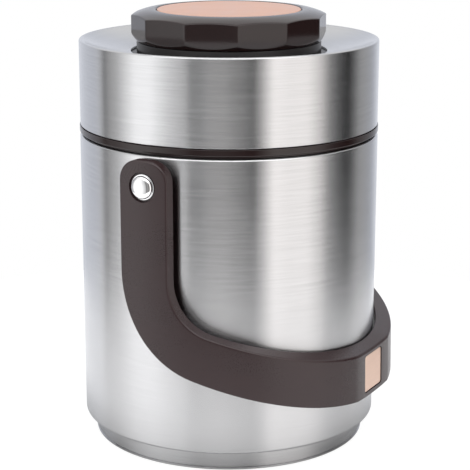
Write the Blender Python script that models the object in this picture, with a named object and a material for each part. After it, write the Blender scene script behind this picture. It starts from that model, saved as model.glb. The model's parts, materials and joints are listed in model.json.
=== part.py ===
"""Insulated lunch box: a double-walled steel pot with a swing handle, a deep
lid that turns and lifts off, a knob that opens a vent, and two stacked bowls.

Metres, +Z up. The origin is the centre of the flat underside. The handle
lies down over the front, which faces -Y, and swings about a line along X.
"""
import math

import bmesh
import bpy
from mathutils import Matrix, Vector

# Fits between pieces
GAP = 0.0003            # between pieces that touch or are pressed together
LID_PLAY = 0.0007       # radial play between the lid's lugs and the neck's wall
BOWL_PLAY = 0.0012      # radial play between a bowl and the pot

# Pot body
BODY_RADIUS = 0.0700
BODY_HEIGHT = 0.1357
SHELL_WALL = 0.0008
BODY_EDGE = 0.0015      # rounding of the shell's top and bottom corners
FOOT_STEP = 0.0051      # from the body's side in to the foot's
FOOT_HEIGHT = 0.0095
FOOT_EDGE = 0.0008
FOOT_TUCK = 0.0025      # how far the foot's wall reaches up inside the shell
FOOT_GROOVE_RADIUS = 0.0420
FOOT_GROOVE_WIDTH = 0.0080
FOOT_GROOVE_DEPTH = 0.0010
VACUUM_FLOOR = 0.0029   # space between the vacuum floor and the liner
LINER_WALL = 0.0008
LINER_CORNER = 0.0060
NECK_HEIGHT = 0.0100
NECK_SPACE = 0.0012     # vacuum space inside the neck
PLUG_RADIUS = 0.0040    # seal of the pump-out hole
GETTER_RADIUS = 0.0080
GETTER_CLEARANCE = 0.0004   # over the vacuum floor

# Plastic ring round the neck, with the lugs that hold the lid
RING_WALL = 0.0012
RING_FLANGE = 0.0009
LUG_COUNT = 4
LUG_ANGLE = 36.0        # degrees round the neck that one lug takes
LUG_REACH = 0.0016
LUG_HEIGHT = 0.0026
LUG_DROP = 0.0013       # from the neck's top down to its lugs
LUG_CLEARANCE = 0.0006  # under the neck's lugs, over the lid's

# Lid
TRIM_GAP = 0.0013       # dark gap between the body and the lid
TRIM_HEIGHT = 0.0030
TRIM_PROUD = 0.00015
COVER_STEP = 0.0002     # how much the lid's radius is under the body's
COVER_HEIGHT = 0.0394
COVER_WALL = 0.0008
COVER_EDGE = 0.0013
DISH_DEPTH = 0.0057
DISH_RIM = 0.0016       # width of the flat rim round the dish
SKIRT_WALL = 0.0020
CEILING_THICKNESS = 0.0020
GASKET_HEIGHT = 0.0020
GASKET_RIB_WALL = 0.0018
INSULATION_SPACE = 0.0031   # from the foam's top up to the dish

# Knob and vent
COLLAR_RADIUS = 0.0430
COLLAR_REVEAL = 0.0028  # ring-shaped gap between the collar and the cover
COLLAR_HEIGHT = 0.0046
COLLAR_WALL = 0.0020
WELL_DEPTH = 0.0095
WELL_FLOOR = 0.0020
GUIDE_BORE = 0.0073
GUIDE_WALL = 0.0020
SPIGOT_WALL = 0.0020
SPIGOT_DEPTH = 0.0061
KNOB_REACH = 0.0025     # of the knob's corners past the collar
KNOB_SIDES = 12
KNOB_TURN = 3.0         # degrees from -Y round to the first corner
KNOB_HEIGHT = 0.0143
KNOB_UNDERCUT = 0.0028  # height of the corners' lower chamfer
KNOB_CROWN = 0.0036     # height of the corners' upper chamfer
KNOB_TOP = 0.0032       # thickness of the knob's top
DISC_RADIUS = 0.0335
DISC_RECESS = 0.0010
DISC_THICKNESS = 0.0010
HUB_WALL = 0.0027
STEM_RADIUS = 0.0035
STEM_HEAD_HEIGHT = 0.0020
STEM_ENTRY = 0.0129     # length of the stem over the collar's floor
VENT_RADIUS = 0.0030
VENT_SEAL_HEIGHT = 0.0014

# Bowls
BOWL_HEADROOM = 0.0023  # over the upper bowl's lid, under the gasket
BOWL_WALL = 0.0012
BOWL_CORNER = 0.0080
BOWL_LID_FLANGE = 0.0020
BOWL_LID_FLOOR = 0.0010
BOWL_LID_DISH = 0.0020
BOWL_LID_WALL = 0.0015
BOWL_PLUG_DEPTH = 0.0054
BOWL_SEAL_WIDTH = 0.0015
BOWL_SEAL_HEIGHT = 0.0026
BOWL_LIP_HEIGHT = 0.0006
GRIP_LENGTH = 0.0400
GRIP_WIDTH = 0.0080

# Handle
PIVOT_DROP = 0.0122     # pivot line under the top of the body
ARM_THICKNESS = 0.0058
ARM_HALF_WIDTH = 0.0120
ARM_TOP = 0.0123        # top of the arm over the pivot line
ARM_CORNER = 0.0090
STRAP_REST = 0.0012     # between the strap's middle and the body
STRAP_WIDTH = 0.0212
STRAP_LOW = 0.0270      # lower edge at the very front
STRAP_SLOPE = 19.3      # degrees
STRAP_LEAN = 1.0        # degrees that the outer face leans out towards its lower edge
OUTER_BEND = 0.0510
INNER_BEND = 0.0260
HANDLE_EDGE = 0.0009    # rounding of the handle's long edges
PAD_FLAT = 0.0020       # cut off the handle's round front for the flat pad
BADGE_WIDTH = 0.0178
BADGE_MARGIN = 0.0019   # of the strap over and under the badge
BADGE_CORNER = 0.0012
BADGE_THICKNESS = 0.0006
BADGE_RECESS = 0.0012
BADGE_RAISE = 0.0004    # of the badge's middle over the strap's

# Pivots
FLANGE_RADIUS = 0.0075
FLANGE_THICKNESS = 0.0007
WASHER_RADIUS = 0.0080
WASHER_THICKNESS = 0.0020
SEAT_DEPTH = 0.0004     # flat seat for the washer, sunk in the arm's inner face
STUD_RADIUS = 0.0030
BUSH_WALL = 0.0013
CAP_RADIUS = 0.0057
CAP_PLAY = 0.00075      # round the cap, in the recess in the arm
CAP_RECESS = 0.0012
CAP_SINK = 0.0003       # of the dome's rim under the arm's face
CAP_DOME = 0.0018

# Smoothness
OUTER_SEGMENTS = 48
INNER_SEGMENTS = 32
KNOB_SEGMENTS = 36
SMALL_SEGMENTS = 20

# Radii of the pot and the lid, from the outside in
FOOT_RADIUS = BODY_RADIUS - FOOT_STEP
COVER_RADIUS = BODY_RADIUS - COVER_STEP
SKIRT_OUTER = COVER_RADIUS - COVER_WALL - 2 * GAP
SKIRT_INNER = SKIRT_OUTER - SKIRT_WALL
LUG_RADIUS = SKIRT_INNER - LID_PLAY
RING_OUTER = LUG_RADIUS - LUG_REACH
RING_INNER = RING_OUTER - RING_WALL
NECK_RADIUS = RING_INNER - GAP
LINER_OUTER = NECK_RADIUS - SHELL_WALL - NECK_SPACE
LINER_INNER = LINER_OUTER - LINER_WALL
GUIDE_OUTER = GUIDE_BORE + GUIDE_WALL
SPIGOT_OUTER = COLLAR_RADIUS - COLLAR_WALL - 2 * GAP
STEM_BORE = STEM_RADIUS + GAP
KNOB_RADIUS = COLLAR_RADIUS + KNOB_REACH

# Heights of the pot
BODY_TOP = FOOT_HEIGHT + BODY_HEIGHT
NECK_TOP = BODY_TOP + NECK_HEIGHT
FOOT_TOP = FOOT_HEIGHT + FOOT_TUCK
VACUUM_FLOOR_LOW = FOOT_TOP + GAP
VACUUM_FLOOR_TOP = VACUUM_FLOOR_LOW + SHELL_WALL
LINER_LOW = VACUUM_FLOOR_TOP + VACUUM_FLOOR
LINER_FLOOR = LINER_LOW + LINER_WALL
RIM_LOW = NECK_TOP + GAP
RIM_TOP = RIM_LOW + LINER_WALL
PIVOT_HEIGHT = BODY_TOP - PIVOT_DROP
NECK_LUG_LOW = NECK_TOP - LUG_DROP - LUG_HEIGHT

# Heights of the lid
TRIM_LOW = BODY_TOP + TRIM_GAP
COVER_LOW = TRIM_LOW + TRIM_HEIGHT + GAP
COVER_TOP = COVER_LOW + COVER_HEIGHT
DISH_LOW = COVER_TOP - DISH_DEPTH
SKIRT_LOW = TRIM_LOW + GAP
LID_LUG_TOP = NECK_LUG_LOW - LUG_CLEARANCE
GASKET_LOW = RIM_TOP + GAP
BOWL_PITCH = (GASKET_LOW - BOWL_HEADROOM - LINER_FLOOR - GAP) / 2
BOWL_HEIGHT = BOWL_PITCH - BOWL_LID_FLANGE - 2 * GAP
CEILING_LOW = GASKET_LOW + GASKET_HEIGHT + GAP
CEILING_TOP = CEILING_LOW + CEILING_THICKNESS
INSULATION_LOW = CEILING_TOP + GAP
INSULATION_TOP = DISH_LOW - INSULATION_SPACE
WELL_TOP = DISH_LOW - WELL_DEPTH
COLLAR_TOP = DISH_LOW + COLLAR_HEIGHT
KNOB_LOW = COLLAR_TOP + GAP
KNOB_HIGH = KNOB_LOW + KNOB_HEIGHT
VENT_SEAL_LOW = CEILING_TOP + GAP
STEM_LOW = VENT_SEAL_LOW + VENT_SEAL_HEIGHT + GAP

# Places of the pivots' pieces along X
FLANGE_IN = BODY_RADIUS + GAP
WASHER_IN = FLANGE_IN + FLANGE_THICKNESS + GAP
SEAT_IN = WASHER_IN + WASHER_THICKNESS + GAP
ARM_IN = SEAT_IN - SEAT_DEPTH
HANDLE_RADIUS = ARM_IN + ARM_THICKNESS
PAD_FACE = HANDLE_RADIUS - PAD_FLAT
RECESS_IN = HANDLE_RADIUS - CAP_RECESS
CAP_IN = RECESS_IN + GAP
STUD_BORE = STUD_RADIUS + GAP
BUSH_RADIUS = STUD_BORE + BUSH_WALL
CAP_BORE_END = HANDLE_RADIUS + CAP_DOME / 2
STUD_END = CAP_BORE_END - GAP
PIVOT = Vector((0.0, 0.0, PIVOT_HEIGHT))

# Strap and badge
STRAP_LIFT = STRAP_WIDTH / math.cos(math.radians(STRAP_SLOPE))
PAD_TOP = Vector((0.0, -PAD_FACE, STRAP_LOW + STRAP_LIFT))
BADGE_HEIGHT = STRAP_WIDTH - 2 * BADGE_MARGIN
BADGE_MIDDLE = STRAP_LOW + STRAP_LIFT / 2 + BADGE_RAISE

MATERIALS = {
    "brushed_steel": ((0.56, 0.56, 0.57), 0.30, 1.0),
    "liner_steel": ((0.60, 0.60, 0.61), 0.24, 1.0),
    "brown_plastic": ((0.026, 0.017, 0.0165), 0.40, 0.0),
    "black_plastic": ((0.022, 0.018, 0.018), 0.50, 0.0),
    "rose_metal": ((0.80, 0.50, 0.40), 0.30, 1.0),
    "chrome": ((0.85, 0.85, 0.86), 0.06, 1.0),
    "silicone": ((0.72, 0.72, 0.70), 0.60, 0.0),
    "foam": ((0.86, 0.85, 0.80), 0.90, 0.0),
    "bowl_steel": ((0.62, 0.62, 0.63), 0.22, 1.0),
    "bowl_lid_plastic": ((0.70, 0.66, 0.60), 0.42, 0.0),
    "nylon": ((0.80, 0.78, 0.72), 0.45, 0.0),
}


def clear_scene():
    """Remove whatever the file holds."""
    for obj in list(bpy.data.objects):
        bpy.data.objects.remove(obj, do_unlink=True)


def material(name):
    """The named material, made once."""
    found = bpy.data.materials.get(name)
    if found:
        return found
    colour, roughness, metallic = MATERIALS[name]
    made = bpy.data.materials.new(name)
    made.use_nodes = True
    shader = made.node_tree.nodes["Principled BSDF"]
    shader.inputs["Base Color"].default_value = (*colour, 1.0)
    shader.inputs["Roughness"].default_value = roughness
    shader.inputs["Metallic"].default_value = metallic
    return made


def finish(name, mesh_data, look, origin=Vector()):
    """Turn a bmesh in world space into an object whose origin is given."""
    bmesh.ops.recalc_face_normals(mesh_data, faces=mesh_data.faces)
    bmesh.ops.transform(mesh_data, matrix=Matrix.Translation(-origin), verts=mesh_data.verts)
    mesh = bpy.data.meshes.new(name)
    mesh_data.to_mesh(mesh)
    mesh_data.free()
    mesh.shade_smooth()
    mesh.set_sharp_from_angle(angle=math.radians(28.0))
    if look:
        mesh.materials.append(material(look))
    obj = bpy.data.objects.new(name, mesh)
    obj.location = origin
    bpy.context.collection.objects.link(obj)
    return obj


def arc(centre, radius, start, end, steps):
    """Points of an arc, from one angle in degrees to another."""
    points = []
    for step in range(steps + 1):
        angle = math.radians(start + (end - start) * step / steps)
        points.append((centre[0] + radius * math.cos(angle),
                       centre[1] + radius * math.sin(angle)))
    return points


def spin(outline, segments):
    """Solid of revolution about Z from a closed (radius, height) outline."""
    shape = bmesh.new()
    ring = [shape.verts.new((radius, 0.0, height)) for radius, height in outline]
    edges = []
    for start, end in zip(ring, ring[1:] + ring[:1]):
        if start.co.x > 0.0 or end.co.x > 0.0:
            edges.append(shape.edges.new((start, end)))
    bmesh.ops.spin(shape, geom=ring + edges, cent=(0, 0, 0), axis=(0, 0, 1),
                   angle=math.tau, steps=segments, use_merge=True)
    bmesh.ops.remove_doubles(shape, verts=shape.verts, dist=0.000001)
    return shape


def turned(name, outline, look, segments=INNER_SEGMENTS):
    """Turned piece on the pot's axis."""
    return finish(name, spin(outline, segments), look)


def on_pivot(outline, side):
    """Turned shape on the pivot line; heights in the outline run out along X."""
    shape = spin(outline, SMALL_SEGMENTS)
    lay_down = Matrix.Rotation(math.radians(90.0 * side), 4, "Y")
    bmesh.ops.transform(shape, matrix=Matrix.Translation(PIVOT) @ lay_down, verts=shape.verts)
    return shape


def sector(inner, outer, low, high, middle, angle, steps=6):
    """Block that fills part of a ring, centred on an angle in degrees."""
    shape = bmesh.new()
    columns = []
    for step in range(steps + 1):
        turn = math.radians(middle + angle * (step / steps - 0.5))
        column = []
        for radius, height in ((inner, low), (outer, low), (outer, high), (inner, high)):
            place = (radius * math.cos(turn), radius * math.sin(turn), height)
            column.append(shape.verts.new(place))
        columns.append(column)
    for left, right in zip(columns, columns[1:]):
        for first, second in ((0, 1), (1, 2), (2, 3), (3, 0)):
            shape.faces.new((left[first], left[second], right[second], right[first]))
    shape.faces.new(columns[0])
    shape.faces.new(columns[-1])
    return shape


def block(centre, size):
    """Plain box."""
    shape = bmesh.new()
    bmesh.ops.create_cube(shape, size=1.0)
    bmesh.ops.scale(shape, vec=size, verts=shape.verts)
    bmesh.ops.translate(shape, vec=centre, verts=shape.verts)
    return shape


def prism(outline, start, depth):
    """Prism whose (x, z) outline lies at y = start and runs back along Y."""
    shape = bmesh.new()
    face = shape.faces.new([shape.verts.new((x, start, z)) for x, z in outline])
    pushed = bmesh.ops.extrude_face_region(shape, geom=[face])["geom"]
    moved = [item for item in pushed if isinstance(item, bmesh.types.BMVert)]
    bmesh.ops.translate(shape, vec=(0.0, depth, 0.0), verts=moved)
    return shape


def combine(obj, shape, operation, name):
    """Boolean with a hidden helper made from a bmesh."""
    tool = finish(name, shape, None)
    tool.hide_render = True
    tool.display_type = "WIRE"
    change = obj.modifiers.new(name, "BOOLEAN")
    change.operation = operation
    change.solver = "EXACT"
    change.object = tool


def rounded_rectangle(width, height, radius, middle):
    """Outline of a rectangle with round corners, centred at (0, middle)."""
    points = []
    for across, up, start in ((1, 1, 0), (-1, 1, 90), (-1, -1, 180), (1, -1, 270)):
        centre = (across * (width / 2 - radius), middle + up * (height / 2 - radius))
        points += arc(centre, radius, start, start + 90, 3)
    return points


def cup(radius, low, high, wall, corner):
    """Outline of a cup with an open top, as outer radius, heights and wall."""
    inside = corner - wall
    outline = [(0.0, low)]
    outline += arc((radius - corner, low + corner), corner, -90, 0, 3)
    outline += [(radius, high), (radius - wall, high)]
    outline += arc((radius - corner, low + corner), inside, 0, -90, 3)
    outline.append((0.0, low + wall))
    return outline


# Pot

def outer_shell():
    """Outer steel skin, from its turned-in bottom edge up to the neck."""
    inside_edge = BODY_EDGE - SHELL_WALL
    corner = BODY_RADIUS - BODY_EDGE
    low = FOOT_HEIGHT + BODY_EDGE
    high = BODY_TOP - BODY_EDGE
    foot_hole = FOOT_RADIUS + GAP
    outline = [(foot_hole, FOOT_HEIGHT)]
    outline += arc((corner, low), BODY_EDGE, -90, 0, 2)
    outline += arc((corner, high), BODY_EDGE, 0, 90, 2)
    outline += [(NECK_RADIUS, BODY_TOP), (NECK_RADIUS, NECK_TOP)]
    outline += [(NECK_RADIUS - SHELL_WALL, NECK_TOP), (NECK_RADIUS - SHELL_WALL, BODY_TOP - SHELL_WALL)]
    outline += arc((corner, high), inside_edge, 90, 0, 1)
    outline += arc((corner, low), inside_edge, 0, -90, 1)
    outline.append((foot_hole, FOOT_HEIGHT + SHELL_WALL))
    turned("outer_shell", outline, "brushed_steel", OUTER_SEGMENTS)


def base_cup():
    """Steel foot, pressed up into the shell, with one pressed ring below."""
    inner = FOOT_RADIUS - SHELL_WALL
    groove_in = FOOT_GROOVE_RADIUS - FOOT_GROOVE_WIDTH / 2
    groove_out = FOOT_GROOVE_RADIUS + FOOT_GROOVE_WIDTH / 2
    ridge = FOOT_GROOVE_DEPTH + SHELL_WALL
    outline = [(0.0, 0.0), (groove_in, 0.0)]
    outline += [(groove_in + FOOT_GROOVE_DEPTH, FOOT_GROOVE_DEPTH)]
    outline += [(groove_out - FOOT_GROOVE_DEPTH, FOOT_GROOVE_DEPTH), (groove_out, 0.0)]
    outline += arc((FOOT_RADIUS - FOOT_EDGE, FOOT_EDGE), FOOT_EDGE, -90, 0, 2)
    outline += [(FOOT_RADIUS, FOOT_TOP), (inner, FOOT_TOP), (inner, SHELL_WALL)]
    outline += [(groove_out + SHELL_WALL / 2, SHELL_WALL), (groove_out - FOOT_GROOVE_DEPTH, ridge)]
    outline += [(groove_in + FOOT_GROOVE_DEPTH, ridge), (groove_in - SHELL_WALL / 2, SHELL_WALL)]
    outline.append((0.0, SHELL_WALL))
    turned("base_cup", outline, "brushed_steel", OUTER_SEGMENTS)


def vacuum_floor():
    """Steel disc that closes the vacuum space, with its pump-out hole sealed."""
    rim = BODY_RADIUS - SHELL_WALL - 2 * GAP
    hole = PLUG_RADIUS + GAP
    outline = [(hole, VACUUM_FLOOR_LOW), (rim, VACUUM_FLOOR_LOW)]
    outline += [(rim, VACUUM_FLOOR_TOP), (hole, VACUUM_FLOOR_TOP)]
    turned("vacuum_floor", outline, "liner_steel")
    plug = [(0.0, VACUUM_FLOOR_LOW), (PLUG_RADIUS, VACUUM_FLOOR_LOW)]
    plug += [(PLUG_RADIUS, VACUUM_FLOOR_TOP), (0.0, VACUUM_FLOOR_TOP)]
    turned("vacuum_plug", plug, "chrome", SMALL_SEGMENTS)
    getter_top = LINER_LOW - GAP
    getter_low = VACUUM_FLOOR_TOP + GETTER_CLEARANCE
    getter = [(0.0, getter_low), (GETTER_RADIUS - FOOT_EDGE, getter_low)]
    getter += [(GETTER_RADIUS, getter_low + FOOT_EDGE), (GETTER_RADIUS, getter_top), (0.0, getter_top)]
    turned("vacuum_getter", getter, "liner_steel", SMALL_SEGMENTS)


def inner_liner():
    """Steel vessel inside the vacuum, whose rim closes the neck."""
    outline = cup(LINER_OUTER, LINER_LOW, RIM_TOP, LINER_WALL, LINER_CORNER + LINER_WALL)
    wall_top = outline.index((LINER_OUTER, RIM_TOP))
    rim = [(LINER_OUTER, RIM_LOW), (RING_OUTER, RIM_LOW), (RING_OUTER, RIM_TOP)]
    outline[wall_top:wall_top + 1] = rim
    turned("inner_liner", outline, "liner_steel")


def neck_ring():
    """Plastic ring round the neck, with lugs that the lid turns under."""
    flange = BODY_RADIUS - BODY_EDGE - GAP
    low = BODY_TOP + GAP
    outline = [(RING_INNER, low), (flange, low), (flange, low + RING_FLANGE)]
    outline += [(RING_OUTER, low + RING_FLANGE), (RING_OUTER, NECK_TOP), (RING_INNER, NECK_TOP)]
    ring = turned("neck_ring", outline, "brown_plastic", OUTER_SEGMENTS)
    inside = RING_OUTER - RING_WALL / 2
    for index in range(LUG_COUNT):
        middle = 360.0 * index / LUG_COUNT
        lug = sector(inside, LUG_RADIUS, NECK_LUG_LOW, NECK_LUG_LOW + LUG_HEIGHT, middle, LUG_ANGLE)
        combine(ring, lug, "UNION", f"guide_neck_lug_{index}")


# Lid

def dish_height(radius):
    """Height of the lid's dished top at a radius."""
    inner = COLLAR_RADIUS + COLLAR_REVEAL
    outer = COVER_RADIUS - DISH_RIM
    share = (radius - inner) / (outer - inner)
    return DISH_LOW + DISH_DEPTH * share * share


def lid_cover():
    """Steel skin of the lid: straight side, rounded edge, dished top."""
    hole = COLLAR_RADIUS + COLLAR_REVEAL
    rim = COVER_RADIUS - DISH_RIM
    corner = (COVER_RADIUS - COVER_EDGE, COVER_TOP - COVER_EDGE)
    steps = 4
    radii = [hole + (rim - hole) * step / steps for step in range(steps, -1, -1)]
    outline = [(COVER_RADIUS, COVER_LOW)]
    outline += arc(corner, COVER_EDGE, 0, 90, 2)
    outline += [(radius, dish_height(radius)) for radius in radii]
    outline += [(radius, dish_height(radius) - COVER_WALL) for radius in reversed(radii[1:])]
    outline += [(COVER_RADIUS - COVER_WALL, COVER_TOP - COVER_EDGE - COVER_WALL)]
    outline += [(COVER_RADIUS - COVER_WALL, COVER_LOW)]
    turned("lid_cover", outline, "brushed_steel", OUTER_SEGMENTS)


def lid_trim_ring():
    """Brown ring under the cover's lower edge."""
    outer = BODY_RADIUS + TRIM_PROUD
    inner = SKIRT_OUTER + 2 * GAP
    top = TRIM_LOW + TRIM_HEIGHT
    bevel = TRIM_HEIGHT / 8
    outline = [(inner, TRIM_LOW), (outer - bevel, TRIM_LOW), (outer, TRIM_LOW + bevel)]
    outline += [(outer, top), (inner, top)]
    turned("lid_trim_ring", outline, "brown_plastic", OUTER_SEGMENTS)


def lid_liner():
    """Plastic inside of the lid: skirt with lugs, ceiling and gasket groove."""
    rib_outer = LINER_INNER - GAP
    rib_inner = rib_outer - GASKET_RIB_WALL
    rib_low = GASKET_LOW + GAP
    outline = [(VENT_RADIUS, CEILING_LOW), (rib_inner, CEILING_LOW), (rib_inner, rib_low)]
    outline += [(rib_outer, rib_low), (rib_outer, CEILING_LOW), (SKIRT_INNER, CEILING_LOW)]
    outline += [(SKIRT_INNER, SKIRT_LOW), (SKIRT_OUTER, SKIRT_LOW), (SKIRT_OUTER, CEILING_TOP)]
    outline.append((VENT_RADIUS, CEILING_TOP))
    liner = turned("lid_liner", outline, "brown_plastic")
    inner = SKIRT_INNER - LUG_REACH
    outer = SKIRT_INNER + SKIRT_WALL / 2
    low = LID_LUG_TOP - LUG_HEIGHT
    for index in range(LUG_COUNT):
        middle = 360.0 * (index + 0.5) / LUG_COUNT
        lug = sector(inner, outer, low, LID_LUG_TOP, middle, LUG_ANGLE)
        combine(liner, lug, "UNION", f"guide_lid_lug_{index}")


def lid_gasket():
    """Silicone ring that the lid presses on the liner's rim."""
    outer = SKIRT_INNER - GAP
    outline = [(LINER_INNER, GASKET_LOW), (outer, GASKET_LOW)]
    outline += [(outer, GASKET_LOW + GASKET_HEIGHT), (LINER_INNER, GASKET_LOW + GASKET_HEIGHT)]
    turned("lid_gasket", outline, "silicone")


def lid_insulation():
    """Foam between the lid's plastic inside and its steel cover."""
    inner = GUIDE_OUTER + GAP
    well = COLLAR_RADIUS + 2 * GAP
    well_low = WELL_TOP - WELL_FLOOR - GAP
    outline = [(inner, INSULATION_LOW), (SKIRT_OUTER, INSULATION_LOW), (SKIRT_OUTER, INSULATION_TOP)]
    outline += [(well, INSULATION_TOP), (well, well_low), (inner, well_low)]
    turned("lid_insulation", outline, "foam")


def knob_collar():
    """Plastic cup that the knob turns in, standing on the lid's ceiling."""
    flange_outer = COLLAR_RADIUS + COLLAR_REVEAL + 2 * COLLAR_WALL
    flange_top = DISH_LOW - COVER_WALL - GAP
    flange_low = INSULATION_TOP + GAP
    floor_low = WELL_TOP - WELL_FLOOR
    outline = [(GUIDE_BORE, INSULATION_LOW), (GUIDE_OUTER, INSULATION_LOW), (GUIDE_OUTER, floor_low)]
    outline += [(COLLAR_RADIUS, floor_low), (COLLAR_RADIUS, flange_low), (flange_outer, flange_low)]
    outline += [(flange_outer, flange_top), (COLLAR_RADIUS, flange_top), (COLLAR_RADIUS, COLLAR_TOP)]
    outline += [(COLLAR_RADIUS - COLLAR_WALL, COLLAR_TOP), (COLLAR_RADIUS - COLLAR_WALL, WELL_TOP)]
    outline += [(STEM_BORE, WELL_TOP), (STEM_BORE, floor_low), (GUIDE_BORE, floor_low)]
    turned("knob_collar", outline, "black_plastic", KNOB_SEGMENTS)


# Knob and vent

def knob():
    """Twelve-sided knob with coned corners, a spigot and a hub for the stem."""
    hub = STEM_BORE + HUB_WALL
    hub_low = WELL_TOP + GAP
    hub_top = KNOB_HIGH - KNOB_TOP - GAP
    roof = KNOB_HIGH - KNOB_TOP
    spigot_low = KNOB_LOW - SPIGOT_DEPTH
    spigot_inner = SPIGOT_OUTER - SPIGOT_WALL
    recess = KNOB_HIGH - DISC_RECESS - GAP
    past_corner = KNOB_RADIUS + COLLAR_WALL
    rise = (KNOB_RADIUS - COLLAR_RADIUS) / KNOB_UNDERCUT
    shoulder = KNOB_HIGH - KNOB_CROWN
    outline = [(STEM_BORE, hub_low), (hub, hub_low), (hub, roof), (spigot_inner, roof)]
    outline += [(spigot_inner, spigot_low), (SPIGOT_OUTER, spigot_low), (SPIGOT_OUTER, KNOB_LOW)]
    outline += [(COLLAR_RADIUS, KNOB_LOW), (past_corner, KNOB_LOW + (past_corner - COLLAR_RADIUS) / rise)]
    outline += knob_crown(past_corner, shoulder)
    outline += [(DISC_RADIUS + GAP, KNOB_HIGH), (DISC_RADIUS + GAP, recess), (0.0, recess)]
    outline += [(0.0, hub_top), (STEM_BORE, hub_top)]
    piece = turned("knob", outline, "brown_plastic", KNOB_SEGMENTS)
    sides = bmesh.new()
    depth = KNOB_HIGH - hub_low + 4 * COLLAR_WALL
    bmesh.ops.create_cone(sides, cap_ends=True, segments=KNOB_SIDES, radius1=KNOB_RADIUS,
                          radius2=KNOB_RADIUS, depth=depth)
    lift = Matrix.Translation((0.0, 0.0, (KNOB_HIGH + hub_low) / 2))
    turn = Matrix.Rotation(math.radians(KNOB_TURN), 4, "Z")
    bmesh.ops.transform(sides, matrix=lift @ turn, verts=sides.verts)
    combine(piece, sides, "INTERSECT", "guide_knob_sides")


def knob_crown(past_corner, shoulder):
    """Upper curve of the knob, from outside its corners in to the disc."""
    inner = DISC_RADIUS + 4 * GAP
    steps = 4
    points = []
    for step in range(steps + 1):
        share = step / steps
        radius = past_corner + (inner - past_corner) * share
        height = shoulder + (KNOB_HIGH - shoulder) * math.sin(share * math.pi / 2)
        points.append((radius, height))
    return points


def knob_disc():
    """Rose-coloured metal disc set into the knob."""
    low = KNOB_HIGH - DISC_RECESS
    outline = [(0.0, low), (DISC_RADIUS, low), (DISC_RADIUS, low + DISC_THICKNESS)]
    outline.append((0.0, low + DISC_THICKNESS))
    turned("knob_disc", outline, "rose_metal", OUTER_SEGMENTS)


def vent_stem():
    """Stem that the knob raises, and the seal under its head."""
    head = GUIDE_BORE - GAP
    shoulder = STEM_LOW + STEM_HEAD_HEIGHT
    outline = [(0.0, STEM_LOW), (head, STEM_LOW), (head, shoulder), (STEM_RADIUS, shoulder)]
    outline += [(STEM_RADIUS, WELL_TOP + STEM_ENTRY), (0.0, WELL_TOP + STEM_ENTRY)]
    turned("vent_stem", outline, "nylon", SMALL_SEGMENTS)
    seal_top = VENT_SEAL_LOW + VENT_SEAL_HEIGHT
    seal = [(0.0, VENT_SEAL_LOW), (head, VENT_SEAL_LOW), (head, seal_top), (0.0, seal_top)]
    turned("vent_seal", seal, "silicone", SMALL_SEGMENTS)


# Bowls

def bowl(name, low):
    """One stacked bowl with its plug lid and seal; returns the next free height."""
    radius = LINER_INNER - BOWL_PLAY
    inner = radius - BOWL_WALL
    rim = low + BOWL_HEIGHT
    turned(name, cup(radius, low, rim, BOWL_WALL, BOWL_CORNER), "bowl_steel")
    flange_low = rim + GAP
    flange_top = flange_low + BOWL_LID_FLANGE
    plug = inner - GAP - BOWL_SEAL_WIDTH - GAP
    plug_low = flange_low - BOWL_PLUG_DEPTH
    lip_top = plug_low + BOWL_LIP_HEIGHT
    plug_inner = plug - BOWL_LID_WALL
    floor_top = flange_top - BOWL_LID_DISH
    floor_low = floor_top - BOWL_LID_FLOOR
    outline = [(0.0, floor_low), (plug_inner, floor_low), (plug_inner, plug_low)]
    outline += [(inner - 2 * GAP, plug_low), (inner - 2 * GAP, lip_top), (plug, lip_top)]
    outline += [(plug, flange_low), (radius, flange_low), (radius, flange_top)]
    outline += [(plug_inner, flange_top), (plug_inner, floor_top), (0.0, floor_top)]
    lid = turned(name + "_lid", outline, "bowl_lid_plastic")
    bar_top = flange_top - GAP
    bar = block((0.0, 0.0, (bar_top + floor_low) / 2), (GRIP_LENGTH, GRIP_WIDTH, bar_top - floor_low - GAP))
    combine(lid, bar, "UNION", "guide_grip_" + name)
    seal_low = lip_top + GAP
    seal_top = seal_low + BOWL_SEAL_HEIGHT
    seal = [(plug + GAP, seal_low), (inner - GAP, seal_low), (inner - GAP, seal_top), (plug + GAP, seal_top)]
    turned(name + "_seal", seal, "silicone")
    return flange_top + GAP


# Handle and pivots

def strap_low(y):
    """Height of the strap's lower edge."""
    return STRAP_LOW + math.tan(math.radians(STRAP_SLOPE)) * (y + HANDLE_RADIUS)


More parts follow.
